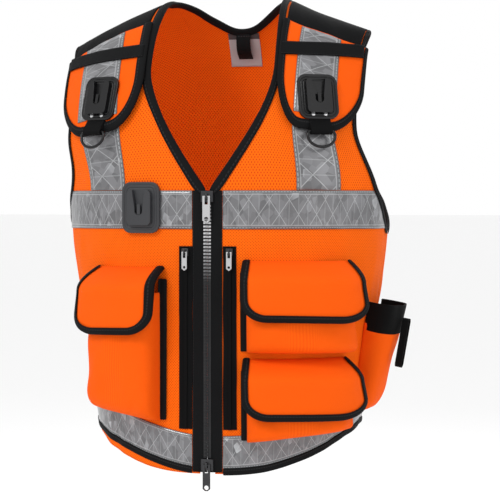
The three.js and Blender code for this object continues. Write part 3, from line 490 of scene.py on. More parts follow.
def tape_look():
    """Prismatic film: a lattice of thin seams, facets with painted glints that differ from facet to facet,
    stitched edges.
    """
    look = new_look("reflective tape", (0.30, 0.31, 0.32), 0.25, 0.35)
    _, along, across = cloth_place(look)
    centred = calculate(look, "ABSOLUTE", calculate(look, "SUBTRACT", across, TAPE_CUT / 2))
    cell = 0.022
    seams = 0.0
    for lean in (0.0, 0.577, -0.577):
        run = calculate(look, "ADD", along, times(look, across, lean))
        size = cell if lean else cell / 2
        step = calculate(look, "FRACT", times(look, run, 1 / size))
        near = calculate(look, "ABSOLUTE", calculate(look, "SUBTRACT", step, 0.5))
        seam = calculate(look, "GREATER_THAN", near, 0.5 - 0.00045 / size)
        seam = times(look, seam, 1.0 if lean else 0.45)
        seams = calculate(look, "MAXIMUM", seams, seam)
    rail = calculate(look, "COMPARE", centred, TAPE_CUT / 2 - 0.0050)
    rail.node.inputs[2].default_value = 0.0005
    field = calculate(look, "LESS_THAN", centred, TAPE_CUT / 2 - 0.0050)
    seams = calculate(look, "MAXIMUM", times(look, seams, field), rail)
    squeezed = times(look, across, 0.6)
    stretched = add_node(look, "ShaderNodeCombineXYZ", ((0, along), (1, squeezed)))
    # Each facet gets a random value: it paints the facet lighter or darker as a painted glint, and gives
    # it a little bump.
    facets = add_node(look, "ShaderNodeTexVoronoi", (
        ("Vector", stretched.outputs[0]), ("Scale", 150.0), ("Randomness", 1.0)))
    glint = add_node(look, "ShaderNodeSeparateColor", ((0, facets.outputs["Color"]),)).outputs[0]
    # The brightest facets inside the cloud patches get a pale painted highlight colour; the cloud also
    # sets the roughness.
    bright = add_node(look, "ShaderNodeMapRange", ((0, glint), (1, 0.78), (2, 1.0))).outputs[0]
    cloud = object_noise(look, 26, 3)
    painted_highlight_patches = add_node(look, "ShaderNodeMapRange", ((0, cloud), (1, 0.50), (2, 0.66))).outputs[0]
    base = mix_colours(look, glint, (0.11, 0.11, 0.115), (0.20, 0.20, 0.21))
    base = mix_colours(look, times(look, bright, painted_highlight_patches), base, (0.52, 0.54, 0.56))
    base = mix_colours(look, times(look, seams, 0.5), base, (0.48, 0.49, 0.50))
    edge = calculate(look, "GREATER_THAN", centred, TAPE_CUT / 2 - 0.0034)
    base = mix_colours(look, edge, base, (0.13, 0.135, 0.14))
    stitches = 0.0
    for row in (0.0018, TAPE_CUT - 0.0018):
        stitches = calculate(look, "MAXIMUM", stitches, stitch_row(look, along, across, row))
    set_colour(look, mix_colours(look, stitches, base, (0.36, 0.37, 0.38)))
    rough = add_node(look, "ShaderNodeMapRange", ((0, cloud), (3, 0.22), (4, 0.42))).outputs[0]
    set_roughness(look, rough)
    relief = calculate(look, "ADD", times(look, glint, 0.3), seams)
    set_bump(look, calculate(look, "SUBTRACT", relief, stitches), 0.00035, 0.5)
    shader = shader_of(look)
    shader.inputs["Coat Weight"].default_value = 0.35
    shader.inputs["Coat Roughness"].default_value = 0.12
    return look


def ribbed_look(name, colour, rib, rows, thread):
    """Woven tape or webbing: ribs along it and rows of stitches at the given distances across."""
    look = new_look(name, colour, 0.7)
    _, along, across = cloth_place(look)
    ribs = half_ripple(look, along, rib)
    cross_ribs = half_ripple(look, across, rib * 1.4)
    weave = times(look, ribs, cross_ribs)
    dust = object_noise(look, 30, 4)
    light = tuple(part * 1.8 + 0.0012 for part in colour)
    base = mix_colours(look, times(look, weave, 0.5), colour, light)
    base = mix_colours(look, times(look, dust, 0.3), base, light)
    stitches = 0.0
    for row in rows:
        stitches = calculate(look, "MAXIMUM", stitches, stitch_row(look, along, across, row))
    set_colour(look, mix_colours(look, stitches, base, thread) if rows else base)
    relief = calculate(look, "SUBTRACT", weave, stitches)
    set_bump(look, relief, 0.0003, 0.7)
    set_shine(look, 0.1)
    return look


def plastic_look(name, colour, roughness, grain):
    """Moulded plastic: a fine grain, rubbed shinier in places."""
    look = new_look(name, colour, roughness)
    wear = object_noise(look, 26, 4)
    fine = object_noise(look, grain, 2)
    pale = tuple(part * 1.6 + 0.001 for part in colour)
    set_colour(look, mix_colours(look, times(look, wear, 0.5), colour, pale))
    low = roughness - 0.1
    rough = add_node(look, "ShaderNodeMapRange", ((0, wear), (3, low), (4, low + 0.25))).outputs[0]
    set_roughness(look, rough)
    set_bump(look, fine, 0.00012, 0.35)
    set_shine(look, 0.3)
    return look


def metal_look(name, colour, roughness):
    """Die-cast metal with fine scratches."""
    look = new_look(name, colour, roughness, 1.0)
    scratches = object_noise(look, 420, 3)
    cloud = object_noise(look, 60, 2)
    limits = ((0, cloud), (3, roughness), (4, roughness + 0.22))
    rough = add_node(look, "ShaderNodeMapRange", limits).outputs[0]
    set_roughness(look, rough)
    dull = tuple(part * 0.7 for part in colour)
    set_colour(look, mix_colours(look, times(look, cloud, 0.6), colour, dull))
    set_bump(look, scratches, 0.00006, 0.3)
    return look


def teeth_look():
    """Moulded teeth, dark all down the chain, with a painted silver highlight on each tooth near the top.
    """
    look = new_look("zip teeth", (0.5, 0.5, 0.5), 0.45, 0.0)
    place = add_node(look, "ShaderNodeTexCoord").outputs["Object"]
    height = add_node(look, "ShaderNodeSeparateXYZ", ((0, place),)).outputs[2]
    # Painted silver highlight on the teeth: it starts at 0.225 m up, is full above 0.28 m, and is broken
    # into one stripe per tooth.
    bright = add_node(look, "ShaderNodeMapRange", ((0, height), (1, 0.225), (2, 0.28))).outputs[0]
    tooth = add_node(look, "ShaderNodeMapRange", (
        (0, half_ripple(look, height, TOOTH_PITCH)), (1, 0.35), (2, 0.65))).outputs[0]
    bright = times(look, bright, tooth)
    cloud = object_noise(look, 90, 3)
    dark = mix_colours(look, cloud, (0.006, 0.006, 0.007), (0.02, 0.02, 0.021))
    set_colour(look, mix_colours(look, bright, dark, (0.50, 0.50, 0.51)))
    set_bump(look, tooth, 0.0004, 0.5)
    set_shine(look, 0.25)
    return look


def label_look():
    """Satin label with a dark woven band along the top."""
    look = new_look("care label", (0.6, 0.6, 0.6), 0.55)
    _, along, across = cloth_place(look)
    threads = half_ripple(look, along, 0.0005)
    band = calculate(look, "GREATER_THAN", across, 0.034)
    paper = mix_colours(look, threads, (0.34, 0.35, 0.36), (0.42, 0.43, 0.44))
    set_colour(look, mix_colours(look, band, paper, (0.03, 0.03, 0.032)))
    set_bump(look, threads, 0.0001, 0.4)
    shader_of(look).inputs["Sheen Weight"].default_value = 0.3
    return look


ORANGE = (0.97, 0.150, 0.0012)
DEEP_ORANGE = (0.84, 0.085, 0.0008)
BLACK = (0.0032, 0.0034, 0.0038)
DEEP_BLACK = (0.0016, 0.0016, 0.0018)
LOOKS = {
    "mesh": mesh_look("orange mesh", (0.95, 0.138, 0.0012), (0.58, 0.045, 0.0008), 0.0034),
    "orange": woven_look("orange cloth", ORANGE, DEEP_ORANGE, 0.0007),
    "yoke": mesh_look("black mesh", BLACK, DEEP_BLACK, 0.0034),
    "tape": tape_look(),
    "binding": ribbed_look("black binding", BLACK, 0.0011, (0.0195,), (0.018, 0.018, 0.019)),
    "webbing": ribbed_look("black webbing", BLACK, 0.0014, (0.003, 0.047), (0.03, 0.03, 0.032)),
    "lining": woven_look("black lining", BLACK, DEEP_BLACK, 0.0008),
    "plastic": plastic_look("black plastic", (0.0035, 0.0035, 0.004), 0.28, 900),
    "dock": plastic_look("grey plastic", (0.030, 0.031, 0.034), 0.4, 900),
    "metal": metal_look("zip metal", (0.62, 0.62, 0.63), 0.16),
    "dark metal": metal_look("dark metal", (0.06, 0.06, 0.063), 0.3),
    "teeth": teeth_look(),
    "label": label_look(),
}
SIDES = ((1, "left"), (-1, "right"))


# ---- panels ----
def front_edge(height):
    centre = angle_at(CENTRE_EDGE, min(height, ARMHOLE_BOTTOM))
    return centre if height <= CHEST_TOP else max(centre, neck_angle(height))


def make_front_panel(side, hand):
    def address(across, along):
        height = along * RIDGE
        inner = front_edge(height)
        outer = SIDE_SEAM if height < ARMHOLE_BOTTOM else armhole_angle(height)
        angle = inner + (outer - inner) * across
        if height < ARMHOLE_BOTTOM:
            low = hem_height(angle)
            height = low + (ARMHOLE_BOTTOM - low) * height / ARMHOLE_BOTTOM
        return (angle, height)
    where = mirrored(address, side)
    name = f"front_mesh_{hand}"
    panel = lay_sheet(name, where, flat_on(0), 64, 150, patch(where), PANEL)
    finish_piece(panel, LOOKS["mesh"], "vest", [f"front_panel_{hand}"])


def make_back_panel():
    def address(across, along):
        height = along * (RIDGE - 0.0005)
        outer = SIDE_SEAM if height < ARMHOLE_BOTTOM else pi - armhole_angle(height, BACK_WAIST)
        inner = pi - back_neck_turn(height)
        angle = outer + (inner - outer) * across
        if height < ARMHOLE_BOTTOM:
            low = hem_height(angle)
            height = low + (ARMHOLE_BOTTOM - low) * height / ARMHOLE_BOTTOM
        return (angle, height)
    def other_half(across, along):
        angle, height = address(1 - across, along)
        return (2 * pi - angle, height)
    halves = []
    for name, where in (("back_mesh", address), ("back_mesh_right", other_half)):
        halves.append(lay_sheet(name, where, flat_on(0), 64, 150, patch(where), 0))
    panel = join(halves)
    in_edit_mode(panel, lambda: bpy.ops.mesh.remove_doubles(threshold=0.0002))
    thicken(panel, PANEL)
    finish_piece(panel, LOOKS["mesh"], "vest", ["back_panel"])


# ---- bindings: a strip folded round an edge ----
FOLD = ((0.0070, -0.0010), (0.004, -0.0012), (0.001, -0.0011), (-0.0008, -0.0004), (-0.0011, 0.0010),
        (-0.0008, 0.0024), (0.001, 0.0032), (0.004, 0.0034), (0.0070, 0.0028))


def bind_edge(name, path, place_at, cloth_side, look, fold=FOLD, closed=False, wall=0.0009):
    """A strip folded over the edge along path: place_at(lift) gives the surface at each distance out, and
    cloth_side is 1 where the cloth lies to the left of the path."""
    steps = len(path) - 1
    places = [place_at(lift) for _, lift in fold]
    lengths = [0.0]
    for here, following in zip(path, path[1:]):
        step = Vector(((following[0] - here[0]) * ROUND, following[1] - here[1]))
        lengths.append(lengths[-1] + step.length)
    def inward(index):
        before = path[index - 1] if index or closed else path[index]
        after = path[(index + 1) % len(path)] if index < steps or closed else path[index]
        if closed and index == steps:
            after = path[1]
        if closed and index == 0:
            before = path[-2]
        run = Vector(((after[0] - before[0]) * ROUND, after[1] - before[1])).normalized()
        return Vector((-run.y, run.x)) * cloth_side
    inwards = [inward(index) for index in range(steps + 1)]
    clear_selection()
    bpy.ops.mesh.primitive_grid_add(x_subdivisions=len(fold) - 1, y_subdivisions=steps, size=1)
    piece = bpy.context.object
    piece.name = name
    cloth = piece.data.uv_layers.active.data
    rows = len(fold) - 1
    grid = [vertex.co for vertex in piece.data.vertices]
    spots = [(round((co.x + 0.5) * rows), round((co.y + 0.5) * steps)) for co in grid]
    for loop in piece.data.loops:
        row, step = spots[loop.vertex_index]
        cloth[loop.index].uv = (lengths[step], row / (len(fold) - 1) * 0.022)
    for vertex, (row, step) in zip(piece.data.vertices, spots):
        angle, height = path[step]
        shift = inwards[step] * fold[row][0]
        vertex.co = places[row](angle + shift.x / ROUND, height + shift.y)
    if closed:
        in_edit_mode(piece, lambda: bpy.ops.mesh.remove_doubles(threshold=0.00005))
    if cloth_side > 0:
        in_edit_mode(piece, bpy.ops.mesh.flip_normals)
    thicken(piece, wall)
    apply_modifier(piece, "SUBSURF", "round", levels=1, render_levels=1)
    bpy.ops.object.shade_smooth()
    piece.data.materials.clear()
    piece.data.materials.append(LOOKS[look])
    return piece


def make_neck_binding():
    up = [(neck_angle(height), height) for height in spread(CHEST_TOP - 0.004, RIDGE, 60)]
    up = [(neck_angle(max(CHEST_TOP, height)), height) for _, height in up]
    over = [(turn, 2 * RIDGE - back_neck_height(turn)) for turn in spread(NECK_END, -NECK_END, 50)]
    down = [(-angle, height) for angle, height in reversed(up)]
    piece = bind_edge("neck_edge", up + over[1:-1] + down, flat_on, -1, "binding")
    finish_piece(piece, LOOKS["binding"], "vest", ["neck_binding"])


def make_armhole_binding(side, hand):
    up = [(armhole_angle(height), height) for height in spread(ARMHOLE_BOTTOM, RIDGE, 90)]
    behind = spread(RIDGE, ARMHOLE_BOTTOM, 90)
    down = [(armhole_angle(height, BACK_WAIST), 2 * RIDGE - height) for height in behind]
    path = [(side * angle, height) for angle, height in up + down[1:]]
    piece = bind_edge(f"armhole_edge_{hand}", path, flat_on, side, "binding")
    finish_piece(piece, LOOKS["binding"], "vest", [f"armhole_binding_{hand}"])


def make_hem_binding():
    start = angle_at(BESIDE_ZIP, 0)
    path = [(angle, hem_height(angle)) for angle in spread(start, 2 * pi - start, 200)]
    piece = bind_edge("hem_edge", path, flat_on, 1, "binding")
    finish_piece(piece, LOOKS["binding"], "vest", ["hem_binding"])


# ---- reflective tape ----
def make_tape(name, address, upright, columns, rows, nodes, lift=ON_PANEL, body="vest"):
    def cut(across, along):
        angle, height = address(across, along)
        if upright:
            return (height, across * TAPE_CUT)
        return (angle * ROUND, along * TAPE_CUT)
    piece = lay_sheet(name, address, flat_on(lift), columns, rows, cut, TAPE)
    finish_piece(piece, LOOKS["tape"], body, nodes)
    return piece


def make_tapes():
    start = angle_at(BESIDE_ZIP, 0)
    def chest(across, along):
        height = CHEST_TAPE_LOW + CHEST_TAPE_WIDTH * along
        first = angle_at(BESIDE_ZIP, height)
        last = armhole_angle(height) - BESIDE_ARMHOLE / ROUND
        return (first + (last - first) * across, height)
    for side, hand in SIDES:
        band = mirrored(chest, side)
        make_tape(f"chest_band_{hand}", band, False, 70, 10, [f"chest_tape_{hand}"])
    def back(across, along):
        height = CHEST_TAPE_LOW + CHEST_TAPE_WIDTH * along
        reach = armhole_angle(height, BACK_WAIST) - BESIDE_ARMHOLE / ROUND
        return (pi + (2 * across - 1) * reach, height)
    make_tape("chest_band_back", back, False, 140, 10, ["chest_tape_back"])
    def hem(across, along):
        angle = start + (2 * pi - 2 * start) * across
        return (angle, hem_height(angle) + HEM_BINDING + TAPE_EDGE_GAP + HEM_TAPE * along)
    make_tape("hem_band", hem, False, 260, 10, ["hem_tape"])
    low = CHEST_TAPE_LOW + CHEST_TAPE_WIDTH + TAPE_EDGE_GAP
    def brace(inner, lean, top):
        def address(across, along):
            height = low + (top - low) * along
            x = inner + lean * share_of(height, low, RIDGE) + BRACE_WIDTH * across
            return (angle_at(x, CHEST_TOP), height)
        return address
    def on_back(address):
        def turned(across, along):
            angle, height = address(1 - across, along)
            return (pi - angle, height)
        return turned
    for side, hand in SIDES:
        front_top = RIDGE - YOKE_FRONT - TAPE_EDGE_GAP
        front_brace = mirrored(brace(BRACE_INNER, BRACE_LEAN, front_top), side)
        make_tape(f"front_brace_{hand}", front_brace, True, 12, 50, [f"front_brace_tape_{hand}"])
        back_top = RIDGE - YOKE_BACK - TAPE_EDGE_GAP
        back_brace = mirrored(on_back(brace(BACK_BRACE_INNER, BACK_BRACE_LEAN, back_top)), side)
        make_tape(f"back_brace_{hand}", back_brace, True, 12, 50, [f"back_brace_tape_{hand}"])


# ---- shoulders ----
def make_yoke(side, hand):
    clear = (BINDING_WIDTH + 0.0006) / ROUND
    def address(across, along):
        down = YOKE_FRONT - (YOKE_FRONT + YOKE_BACK) * along
        inner = neck_angle(RIDGE - max(0.0, down)) + clear
        outer = armhole_angle(RIDGE - abs(down), BACK_WAIST if down < 0 else ARMHOLE_WAIST) - clear
        return (inner + (outer - inner) * across, RIDGE - down)
    where = mirrored(address, side)
    piece = lay_sheet(f"yoke_{hand}", where, flat_on(ON_PANEL), 40, 40, patch(where), 0.0016)
    finish_piece(piece, LOOKS["yoke"], "vest", [f"shoulder_yoke_{hand}"])


def flap_edges(distance):
    """Inner and outer x of the shoulder flap at a distance up from its tip."""
    middle = (FLAP_INNER + FLAP_OUTER_LOW) / 2
    down = FLAP_LENGTH - distance
    opened = (1 - (1 - share_of(distance, 0, FLAP_CORNER)) ** 2) ** 0.5
    ease = FLAP_TIP + (1 - FLAP_TIP) * opened
    outer = FLAP_OUTER + (FLAP_OUTER_LOW - FLAP_OUTER) * share_of(down, FLAP_START, FLAP_LENGTH)
    return middle + (FLAP_INNER - middle) * ease, middle + (outer - middle) * ease


def make_shoulder_flap(side, hand):
    body = f"shoulder_flap_{hand}"
    span = FLAP_LENGTH - FLAP_START
    def curl(angle, height):
        down = RIDGE - height
        low = smooth(share_of(down, 0.09, FLAP_LENGTH))
        return FLAP_LIFT + 0.0035 * low
    def address(across, along):
        distance = span * along ** 1.6
        inner, outer = flap_edges(distance)
        return below(inner + (outer - inner) * across, FLAP_LENGTH - distance)
    where = mirrored(address, side)
    flap = lay_sheet(f"flap_cloth_{hand}", where, on_body(curl), 40, 50, patch(where), FLAP)
    finish_piece(flap, LOOKS["orange"], body, [f"shoulder_flap_{hand}"])
    distances = [span * share ** 1.8 for share in spread(1, 0, 44)]
    inner_line = [below(flap_edges(distance)[0], FLAP_LENGTH - distance) for distance in distances]
    upward = distances[::-1]
    outer_line = [below(flap_edges(distance)[1], FLAP_LENGTH - distance) for distance in upward]
    tip = [below(x, FLAP_LENGTH) for x in spread(flap_edges(0)[0], flap_edges(0)[1], 10)]
    path = [(side * angle, height) for angle, height in inner_line + tip[1:-1] + outer_line]
    def place_at(lift):
        return on_body(lambda angle, height: curl(angle, height) + lift)
    edge = bind_edge(f"flap_edge_{hand}", path, place_at, side, "binding")
    finish_piece(edge, LOOKS["binding"], body, [])

    def tape(across, along):
        down = FLAP_LENGTH - 0.012 - (FLAP_LENGTH - 0.012 - FLAP_START - 0.002) * along
        x = BRACE_INNER + BRACE_LEAN * (1 - down / FLAP_LENGTH) + BRACE_WIDTH * across
        return below(x, down)
    where = mirrored(tape, side)
    def tape_cut(across, along):
        return (where(across, along)[1], across * TAPE_CUT)
    above = on_body(lambda angle, height: curl(angle, height) + FLAP + 0.0003)
    strip = lay_sheet(f"flap_band_{hand}", where, above, 12, 40, tape_cut, TAPE)
    finish_piece(strip, LOOKS["tape"], body, [f"flap_tape_{hand}"])

    def strap(across, along):
        x = FLAP_INNER + 0.001 + (FLAP_OUTER - FLAP_INNER - 0.006) * across
        top = STRAP_INNER + (STRAP_OUTER - STRAP_INNER) * share_of(x, FLAP_INNER, FLAP_OUTER)
        return front(x, top - STRAP_WIDTH * (1 - along))
    where = mirrored(strap, side)
    def strap_cut(across, along):
        return (across * 0.097, along * 0.05)
    higher = on_body(lambda angle, height: curl(angle, height) + FLAP + TAPE + 0.0006)
    band = lay_sheet(f"cross_strap_{hand}", where, higher, 40, 8, strap_cut, 0.0014)
    finish_piece(band, LOOKS["webbing"], body, [f"flap_strap_{hand}"])


# ---- docks and rings ----
def frame_on(x, z, distance):
    address = front(x, z)
    normal = body_normal(*address)
    origin = body_point(*address) + normal * distance
    right = Vector((0, 0, 1)).cross(normal).normalized()
    up = normal.cross(right)
    return Matrix.Translation(origin) @ Matrix((right, up, normal)).transposed().to_4x4()


def select_where(piece, test, kind="VERT"):
    bpy.ops.object.mode_set(mode="OBJECT")
    parts = {"VERT": piece.data.vertices, "EDGE": piece.data.edges, "FACE": piece.data.polygons}
    for group in parts.values():
        for part in group:
            part.select = False
    for part in parts[kind]:
        part.select = test(part)
    bpy.context.tool_settings.mesh_select_mode = (kind == "VERT", kind == "EDGE", kind == "FACE")
    bpy.ops.object.mode_set(mode="EDIT")


def make_dock_pad(name, size, place, look, body, node):
    width, height, thick = size
    clear_selection()
    bpy.ops.mesh.primitive_cube_add(size=1, location=(0, 0, thick / 2), scale=(width, height, thick))
    pad = bpy.context.object
    pad.name = name
    bpy.ops.object.transform_apply(location=True, rotation=True, scale=True)
    def upright(edge):
        a, b = (pad.data.vertices[index].co for index in edge.vertices)
        return abs(a.z - b.z) > thick / 2
    select_where(pad, upright, "EDGE")
    bpy.ops.mesh.bevel(offset=DOCK_CORNER, segments=6, affect="EDGES")
    select_where(pad, lambda face: face.normal.z > 0.9, "FACE")
    for inset, drop in ((0.0009, 0), (0.0022, 0), (0.0003, -0.0005), (0.0007, 0), (0.0003, 0.0005),
                        (0.0018, 0), (0.0003, -0.0005), (0.0007, 0), (0.0003, 0.0005), (0.002, 0)):
        bpy.ops.mesh.inset(thickness=inset, depth=drop)
    bpy.ops.object.mode_set(mode="OBJECT")
    sharp = {"limit_method": "ANGLE", "angle_limit": radians(40)}
    apply_modifier(pad, "BEVEL", "edge", width=0.0005, segments=2, **sharp)
    cloth = pad.data.uv_layers.active.data
    for loop in pad.data.loops:
        corner = pad.data.vertices[loop.vertex_index].co
        cloth[loop.index].uv = (corner.x, corner.y)
    pad.matrix_world = place
    bpy.ops.object.transform_apply(location=True, rotation=True, scale=True)
    bpy.ops.object.shade_smooth_by_angle(angle=radians(35))
    return finish_piece(pad, LOOKS[look], body, [node])


def make_rivets(name, place, body):
    parts = []
    for x in (-0.0075, 0.0075):
        clear_selection()
        bpy.ops.mesh.primitive_uv_sphere_add(segments=20, ring_count=12, radius=0.0024)
        rivet = bpy.context.object
        in_edit_mode(rivet, lambda: bpy.ops.mesh.bisect(
            plane_co=(0, 0, 0), plane_no=(0, 0, 1), clear_inner=True, use_fill=True))
        rivet.scale = (1, 1, 0.5)
        bpy.ops.object.transform_apply(location=True, rotation=True, scale=True)
        rivet.matrix_world = place @ Matrix.Translation((x, -0.0215, 0.0035))
        bpy.ops.object.transform_apply(location=True, rotation=True, scale=True)
        parts.append(rivet)
    rivets = join(parts)
    rivets.name = name
    bpy.ops.object.shade_smooth_by_angle(angle=radians(40))
    finish_piece(rivets, LOOKS["metal"], body, [])


def dress_node(name, look, bevel=0.0004):
    """A CAD part that keeps its shape: its edges are eased and it gets its finish."""
    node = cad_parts[name]
    node.data.materials.clear()
    node.data.materials.append(LOOKS[look])
    if bevel:
        weld = node.modifiers.new("weld", "WELD")
        weld.merge_threshold = 0.00001
        ease = node.modifiers.new("ease", "BEVEL")
        ease.width = bevel
        ease.segments = 2
        ease.limit_method = "ANGLE"
        ease.angle_limit = radians(40)
        ease.harden_normals = False


def make_ring(side, hand):
    """Bent wire: a straight bar with rounded corners and a bow below it."""
    place = frame_on(*SHOULDER_DOCKS[side])
    bar_y = -SHOULDER_PAD[1] / 2 - TAB_DROP
    out = RING_SECTION * 0.7072 + RING_GAP + TAB_THICK
    half = RING_HALF
    line = [(-half + 0.004, 0.0), (half - 0.004, 0.0), (half - 0.0012, -0.0012), (half, -0.004)]
    line += [(half * cos(turn), -0.006 - 0.0130 * sin(turn)) for turn in spread(0.15, pi - 0.15, 14)]
    line += [(-half, -0.004), (-half + 0.0012, -0.0012)]
    clear_selection()
    bpy.ops.curve.primitive_nurbs_path_add()
    ring = bpy.context.object
    ring.data.splines.clear()
    wire = ring.data.splines.new("POLY")
    wire.points.add(len(line) - 1)
    for point, (x, y) in zip(wire.points, line):
        point.co = (x, y + bar_y, out, 1)
    wire.use_cyclic_u = True
    ring.data.dimensions = "3D"
    ring.data.bevel_depth = RING_WIRE
    ring.data.bevel_resolution = 5
    ring.matrix_world = place
    bpy.ops.object.convert(target="MESH")
    bpy.ops.object.transform_apply(location=True, rotation=True, scale=True)
    ring.name = f"ring_wire_{hand}"
    bpy.ops.object.shade_smooth()
    finish_piece(ring, LOOKS["plastic"], f"d_ring_{hand}", [f"d_ring_{hand}"])


def make_docks():
    chest = frame_on(*CHEST_DOCK)
    make_dock_pad("chest_pad", CHEST_PAD, chest, "dock", "vest", "chest_dock_pad")
    dress_node("chest_dock_plate", "dock", 0.0006)
    dress_node("chest_dock_catch", "dock", 0.0003)
    for side, hand in SIDES:
        body = f"shoulder_flap_{hand}"
        place = frame_on(*SHOULDER_DOCKS[side])
        node = f"shoulder_dock_{hand}_pad"
        make_dock_pad(f"shoulder_pad_{hand}", SHOULDER_PAD, place, "plastic", body, node)
        make_rivets(f"dock_rivets_{hand}", place, body)
        dress_node(f"shoulder_dock_{hand}_plate", "plastic", 0.0006)
        dress_node(f"shoulder_dock_{hand}_catch", "plastic", 0.0003)
        dress_node(f"webbing_tab_{hand}", "lining", 0.0004)
        make_ring(side, hand)


# ---- zips ----
def make_zips():
    def strip(inner, outer, low, top):
        def address(across, along):
            height = low + (top - low) * along
            first = angle_at(inner, height)
            return (first + (angle_at(outer, height) - first) * across, height)
        return address
    def strip_cut(across, along):
        return (along * 0.33, across * 0.05)
    for side, hand in SIDES:
        where = mirrored(strip(0.0002, 0.0176, 0.002, 0.331), side)
        tape = lay_sheet(f"zip_cloth_{hand}", where, flat_on(ON_PANEL), 8, 90, strip_cut, TAPE)
        finish_piece(tape, LOOKS["webbing"], "vest", [f"zip_tape_{hand}"])
        dress_node(f"zip_teeth_{hand}", "teeth", 0.0)
        dress_node(f"chest_zip_tape_{hand}", "lining", 0.0)
        dress_node(f"chest_zip_{hand}_slider", "dark metal", 0.0003)
        dress_node(f"chest_zip_{hand}_pull", "metal", 0.0003)
    for which in ("main", "lower"):
        dress_node(f"{which}_slider", "dark metal", 0.0004)
        dress_node(f"{which}_pull", "metal" if which == "main" else "dark metal", 0.0003)


# ---- pockets ----
def make_bag(name, pocket, node):
    side, inner, outer, low, rise, top, depth, fold, _, lift = pocket
    mouth = top - fold - 0.002
    middle = (inner + outer) / 2
    half = (outer - inner) / 2
    roundness = 2 / 4.2
    def corner(share):
        turn = share * pi
        return copysign(abs(cos(turn)) ** roundness, cos(turn)), sin(turn) ** roundness
    def address(across, along):
        sideways, _ = corner(1 - across)
        x = middle + half * sideways
        bottom = low + rise * share_of(x, inner, outer)
        height = bottom + (mouth - bottom) * along ** 1.3
        return (angle_at(x, height), height)
    def swell(across, along):
        _, outward = corner(1 - across)
        up = share_of(along ** 1.3, 0, 0.22)
        bottom = (1 - (1 - up) ** 3.2) ** (1 / 3.2)
        return lift + (depth - 0.0022 - lift) * max(0.0, outward) * bottom
    def cut(across, along):
        angle, height = address(across, along)
        return (across * (outer - inner + 1.6 * depth), height)
    def spot(across, along):
        angle, height = address(across, along)
        out = swell(across, along)
        loose = share_of(out, lift + 0.004, depth * 0.8)
        slack = noise.noise(Vector((angle * 6, height * 24, depth * 300)))
        crease = noise.noise(Vector((angle * 11 + height * 30, height * 38, depth * 500)))
        out += loose * (0.0036 * slack - 0.0016 + 0.0018 * crease)
        out += drape(angle, height) * (1 - loose)
        return body_point(side * angle, height) + body_normal(side * angle, height) * out
    bag = lay_grid(name, 56, 44, cut, spot)
    if side < 0:
        in_edit_mode(bag, bpy.ops.mesh.flip_normals)
    soften(bag, 0.0014, -1)
    finish_piece(bag, LOOKS["orange"], "vest", [node])


def pocket_flap_shape(pocket):
    _, inner, outer, _, _, top, depth, fold, drop, _ = pocket
    bottom = top - drop
    middle = (inner + outer) / 2
    half = (outer - inner) / 2 + 0.003
    flat = 1 - POCKET_FLAP_CORNER / half
    def edges(height):
        opened = (1 - (1 - share_of(height - bottom, 0, POCKET_FLAP_CORNER)) ** 2) ** 0.5
        ease = flat + (1 - flat) * opened
        return middle - half * ease, middle + half * ease
    def lift_at(angle, height):
        x = half_width(height) * sin(abs(angle))
        folded = share_of(height, top, top - fold)
        out = ON_PANEL + (depth + 0.0004 - ON_PANEL) * sin(folded * pi / 2) ** 0.9
        edge = abs(x - middle) / half
        rounded = smooth(share_of(edge, 0.72, 1.08)) ** 1.4
        out -= 0.010 * folded * rounded * share_of(height, bottom - 0.01, top - fold)
        slack = noise.noise(Vector((x * 17, height * 22, depth * 90)))
        return out + folded * (0.0022 * slack + 0.0016)
    def shape(out):
        def place(angle, height):
            total = lift_at(angle, height) + out
            return body_point(angle, height) + body_normal(angle, height) * total
        return place
    return edges, shape


def surface_offset(place, out):
    """The surface place raised by out along its own normal."""
    def raised(angle, height):
        across = place(angle + 0.006, height) - place(angle - 0.006, height)
        up = place(angle, height + 0.0012) - place(angle, height - 0.0012)
        return place(angle, height) + across.cross(up).normalized() * out
    return raised


def bend_at_seam(piece, middle, top, place):
    """Works out where the sewn edge and the end of its bend lie on the flap, but bends nothing: it only
    bakes the piece's transform into its mesh.
    """
    start = place(middle, top - SEWN_EDGE)
    end = place(middle, top - SEWN_EDGE - BEND_LENGTH)
    tuple(start)
    tuple(end)
    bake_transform(piece)


def make_pocket_flap(name, pocket, node):
    side, inner, outer, top, drop = pocket.side, pocket.inner, pocket.outer, pocket.top, pocket.drop
    edges, shape = pocket_flap_shape(pocket)
    bottom = top - drop
    def address(across, along):
        height = bottom + drop * along ** 1.5
        first, last = edges(height)
        return (angle_at(first + (last - first) * across, height), height)
    where = mirrored(address, side)
    flap = lay_sheet(name, where, shape(0), 44, 50, patch(where), 0)
    soften(flap, 0.0018, 1)
    finish_piece(flap, LOOKS["orange"], None, [node])
    middle = side * angle_at((inner + outer) / 2, top)
    bend_at_seam(flap, middle, top, shape(0))
    heights = [bottom + drop * share ** 1.7 for share in spread(1, 0, 40)]
    heights[-1] = bottom + 0.00001
    inner_line = [(angle_at(edges(height)[0], height), height) for height in heights]
    outer_line = [(angle_at(edges(height)[1], height), height) for height in reversed(heights)]
    tip = [(angle_at(x, bottom), bottom) for x in spread(edges(bottom)[0], edges(bottom)[1], 24)]
    path = [(side * angle, height) for angle, height in inner_line + tip[1:-1] + outer_line]
    def place_at(out):
        return surface_offset(shape(0), out)
    edge = bind_edge(f"{name}_edge", path, place_at, side, "binding")
    finish_piece(edge, LOOKS["binding"], None, [])
    bend_at_seam(edge, middle, top, shape(0))


